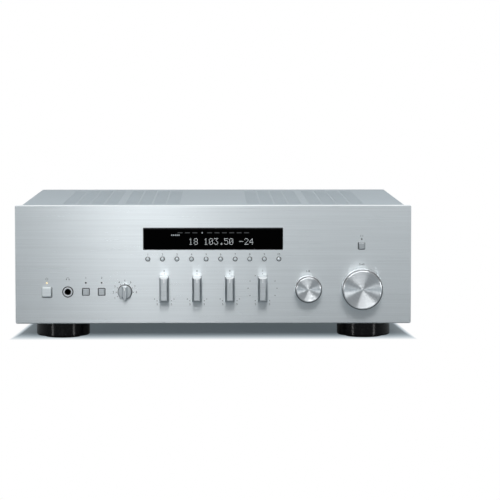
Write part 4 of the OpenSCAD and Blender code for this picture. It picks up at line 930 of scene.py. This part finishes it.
# The shade that the camera sees on the floor, painted by a mask over the real shadow under the object: its
# half width, how fast that narrows to the back, where it ends, the depth and the power of its fading there,
# its soft edge, its share of white, and its tint.
SHADE_SIDE, SHADE_SPREAD, SHADE_FRONT, SHADE_FADE, SHADE_BEND = 0.2154, 0.060, 0.150, 0.077, 1.9
SHADE_EDGE, SHADE_GLOW, SHADE_TINT, WHITE = 0.003, 0.10, (0.8, 1.0, 1.12), (1.0, 1.0, 1.0)
MIRROR_NEAR, MIRROR_FAR = 0.45, 2.0  # where a mirror sees the floor begin to turn white, and all white
DARK_FRONT, ROOM_TURN = 0.36, (-0.35, 0.15)  # how bright the room is in front, and where it turns white


class RECEIVER_OT_stage(bpy.types.Operator):
    """Build the studio: pale floor, soft lights and the camera"""

    bl_idname = "receiver.stage"
    bl_label = "Studio"

    def execute(self, context):
        scene, stage = context.scene, context.scene.receiver_stage
        scene.view_settings.view_transform = "Standard"
        self.floor(stage)
        self.world(scene, stage)
        for name, place, target, size, power in SOFT_BOXES:
            light = bpy.data.lights.new(f"soft_box_{name}", "AREA")
            light.shape, light.size, light.size_y = "RECTANGLE", *size
            light.energy = getattr(stage, power)
            box = add_object(light.name, light)
            box.location, box.visible_camera = place, False
            box.rotation_euler = (Vector(target) - Vector(place)).to_track_quat("-Z", "Y").to_euler()
        lens = bpy.data.cameras.new("camera")
        lens.lens, lens.sensor_width = stage.lens, 36.0
        lens.clip_start, lens.clip_end = 0.05, 60.0
        camera = add_object("camera", lens)
        camera.location = stage.eye
        camera.rotation_euler = (math.pi / 2 - stage.dip, 0.0, -stage.turn)
        scene.camera = camera
        return {"FINISHED"}

    def floor(self, stage):
        """A round sheet at the height of the table. Camera and see-through rays see the background's white
        outside a painted shade under the object, which keeps the real shadow inside it, and mirror rays see
        it from MIRROR_NEAR to MIRROR_FAR."""
        made = Finish("pale_floor", Roughness=0.9, Specular_IOR_Level=0.1)
        made.tone(made.noise(3), stage.floor_colour, 0.01)
        ray = made.node("ShaderNodeLightPath").outputs
        place = made.coords()
        parts = made.node("ShaderNodeSeparateXYZ", {0: place}).outputs
        reach = made.node("ShaderNodeVectorMath", {0: place}, operation="LENGTH").outputs["Value"]
        # The shade's sides, its fading at the front and back, and its tinted glow are painted by this mask
        # over the real shadow.
        beside = made.join("ADD", made.join("ABSOLUTE", parts["X"]),
                           made.join("MULTIPLY", parts["Y"], SHADE_SPREAD))
        along = made.join("ABSOLUTE", parts["Y"])
        before = made.span(along, start=SHADE_FRONT - SHADE_FADE, end=SHADE_FRONT)
        outside = made.join("MAXIMUM", made.join("POWER", before, SHADE_BEND),
                            made.span(beside, start=SHADE_SIDE - SHADE_EDGE, end=SHADE_SIDE + SHADE_EDGE))
        direct = made.join("MAXIMUM", ray["Is Camera Ray"], ray["Is Transmission Ray"])
        far = made.span(reach, start=MIRROR_NEAR, end=MIRROR_FAR)
        white = made.join("MAXIMUM", made.join("MULTIPLY", direct, made.span(outside, SHADE_GLOW)),
                          made.join("MULTIPLY", ray["Is Glossy Ray"], far))
        glow = made.node("ShaderNodeEmission", {"Color": made.mix(white, SHADE_TINT, WHITE)})
        both = made.node("ShaderNodeMixShader", {0: white, 1: made.shader.outputs[0], 2: glow.outputs[0]})
        made.tree.links.new(both.outputs[0], made.tree.nodes["Material Output"].inputs["Surface"])
        rim = ring_outline(stage.floor_radius, 128)
        floor = add_mesh("floor", np.column_stack([rim, np.zeros(128)]), [range(128)], made.material)

    def world(self, scene, stage):
        """White behind the object for camera, mirror and see-through rays; a plain grey light for the rest;
        and a darker room for the mirror rays that leave towards the front."""
        scene.world = bpy.data.worlds.new("studio")
        scene.world.use_nodes = True
        made = Patterns(scene.world.node_tree)
        ray = made.node("ShaderNodeLightPath").outputs
        where = made.node("ShaderNodeTexCoord").outputs["Generated"]
        behind = made.span(made.node("ShaderNodeSeparateXYZ", {0: where}).outputs["Y"], DARK_FRONT, 1.0,
                           *ROOM_TURN)
        mirror = made.span(ray["Is Glossy Ray"], stage.ambient, behind)
        direct = made.join("MAXIMUM", ray["Is Camera Ray"], ray["Is Transmission Ray"])
        ground = made.tree.nodes["Background"].inputs
        ground["Color"].default_value = (1, 1, 1, 1)
        made.tree.links.new(made.join("MAXIMUM", direct, mirror), ground["Strength"])


PIECES = (
    RECEIVER_OT_finishes, RECEIVER_OT_display, RECEIVER_OT_scales, RECEIVER_OT_round_knobs,
    RECEIVER_OT_small_buttons, RECEIVER_OT_square_buttons, RECEIVER_OT_phones_ring,
    RECEIVER_OT_surrounds, RECEIVER_OT_symbols, RECEIVER_OT_pointers, RECEIVER_OT_lamps,
    RECEIVER_OT_rear_print, RECEIVER_OT_stage)
GROUPS = {
    "receiver_sizes": ReceiverSizes, "receiver_colours": ReceiverColours, "receiver_stage": ReceiverStage}


class RECEIVER_PT_panel(bpy.types.Panel):
    """Lists the receiver's sizes, colours and makers"""

    bl_idname = "RECEIVER_PT_panel"
    bl_label = "Receiver"
    bl_space_type = "VIEW_3D"
    bl_region_type = "UI"
    bl_category = "Receiver"

    def draw(self, context):
        for pointer, group in GROUPS.items():
            box = self.layout.box()
            for name in group.__annotations__:
                box.prop(getattr(context.scene, pointer), name)
        for piece in PIECES:
            self.layout.operator(piece.bl_idname)


CLASSES = (*GROUPS.values(), *PIECES, RECEIVER_PT_panel)


def register():
    for made in CLASSES:
        bpy.utils.register_class(made)
    for name, group in GROUPS.items():
        setattr(bpy.types.Scene, name, PointerProperty(type=group))


def unregister():
    for name in GROUPS:
        delattr(bpy.types.Scene, name)
    for made in reversed(CLASSES):
        bpy.utils.unregister_class(made)


def main():
    register()
    for piece in PIECES:
        area, name = piece.bl_idname.split(".")
        getattr(getattr(bpy.ops, area), name)()


if __name__ == "__main__":
    main()
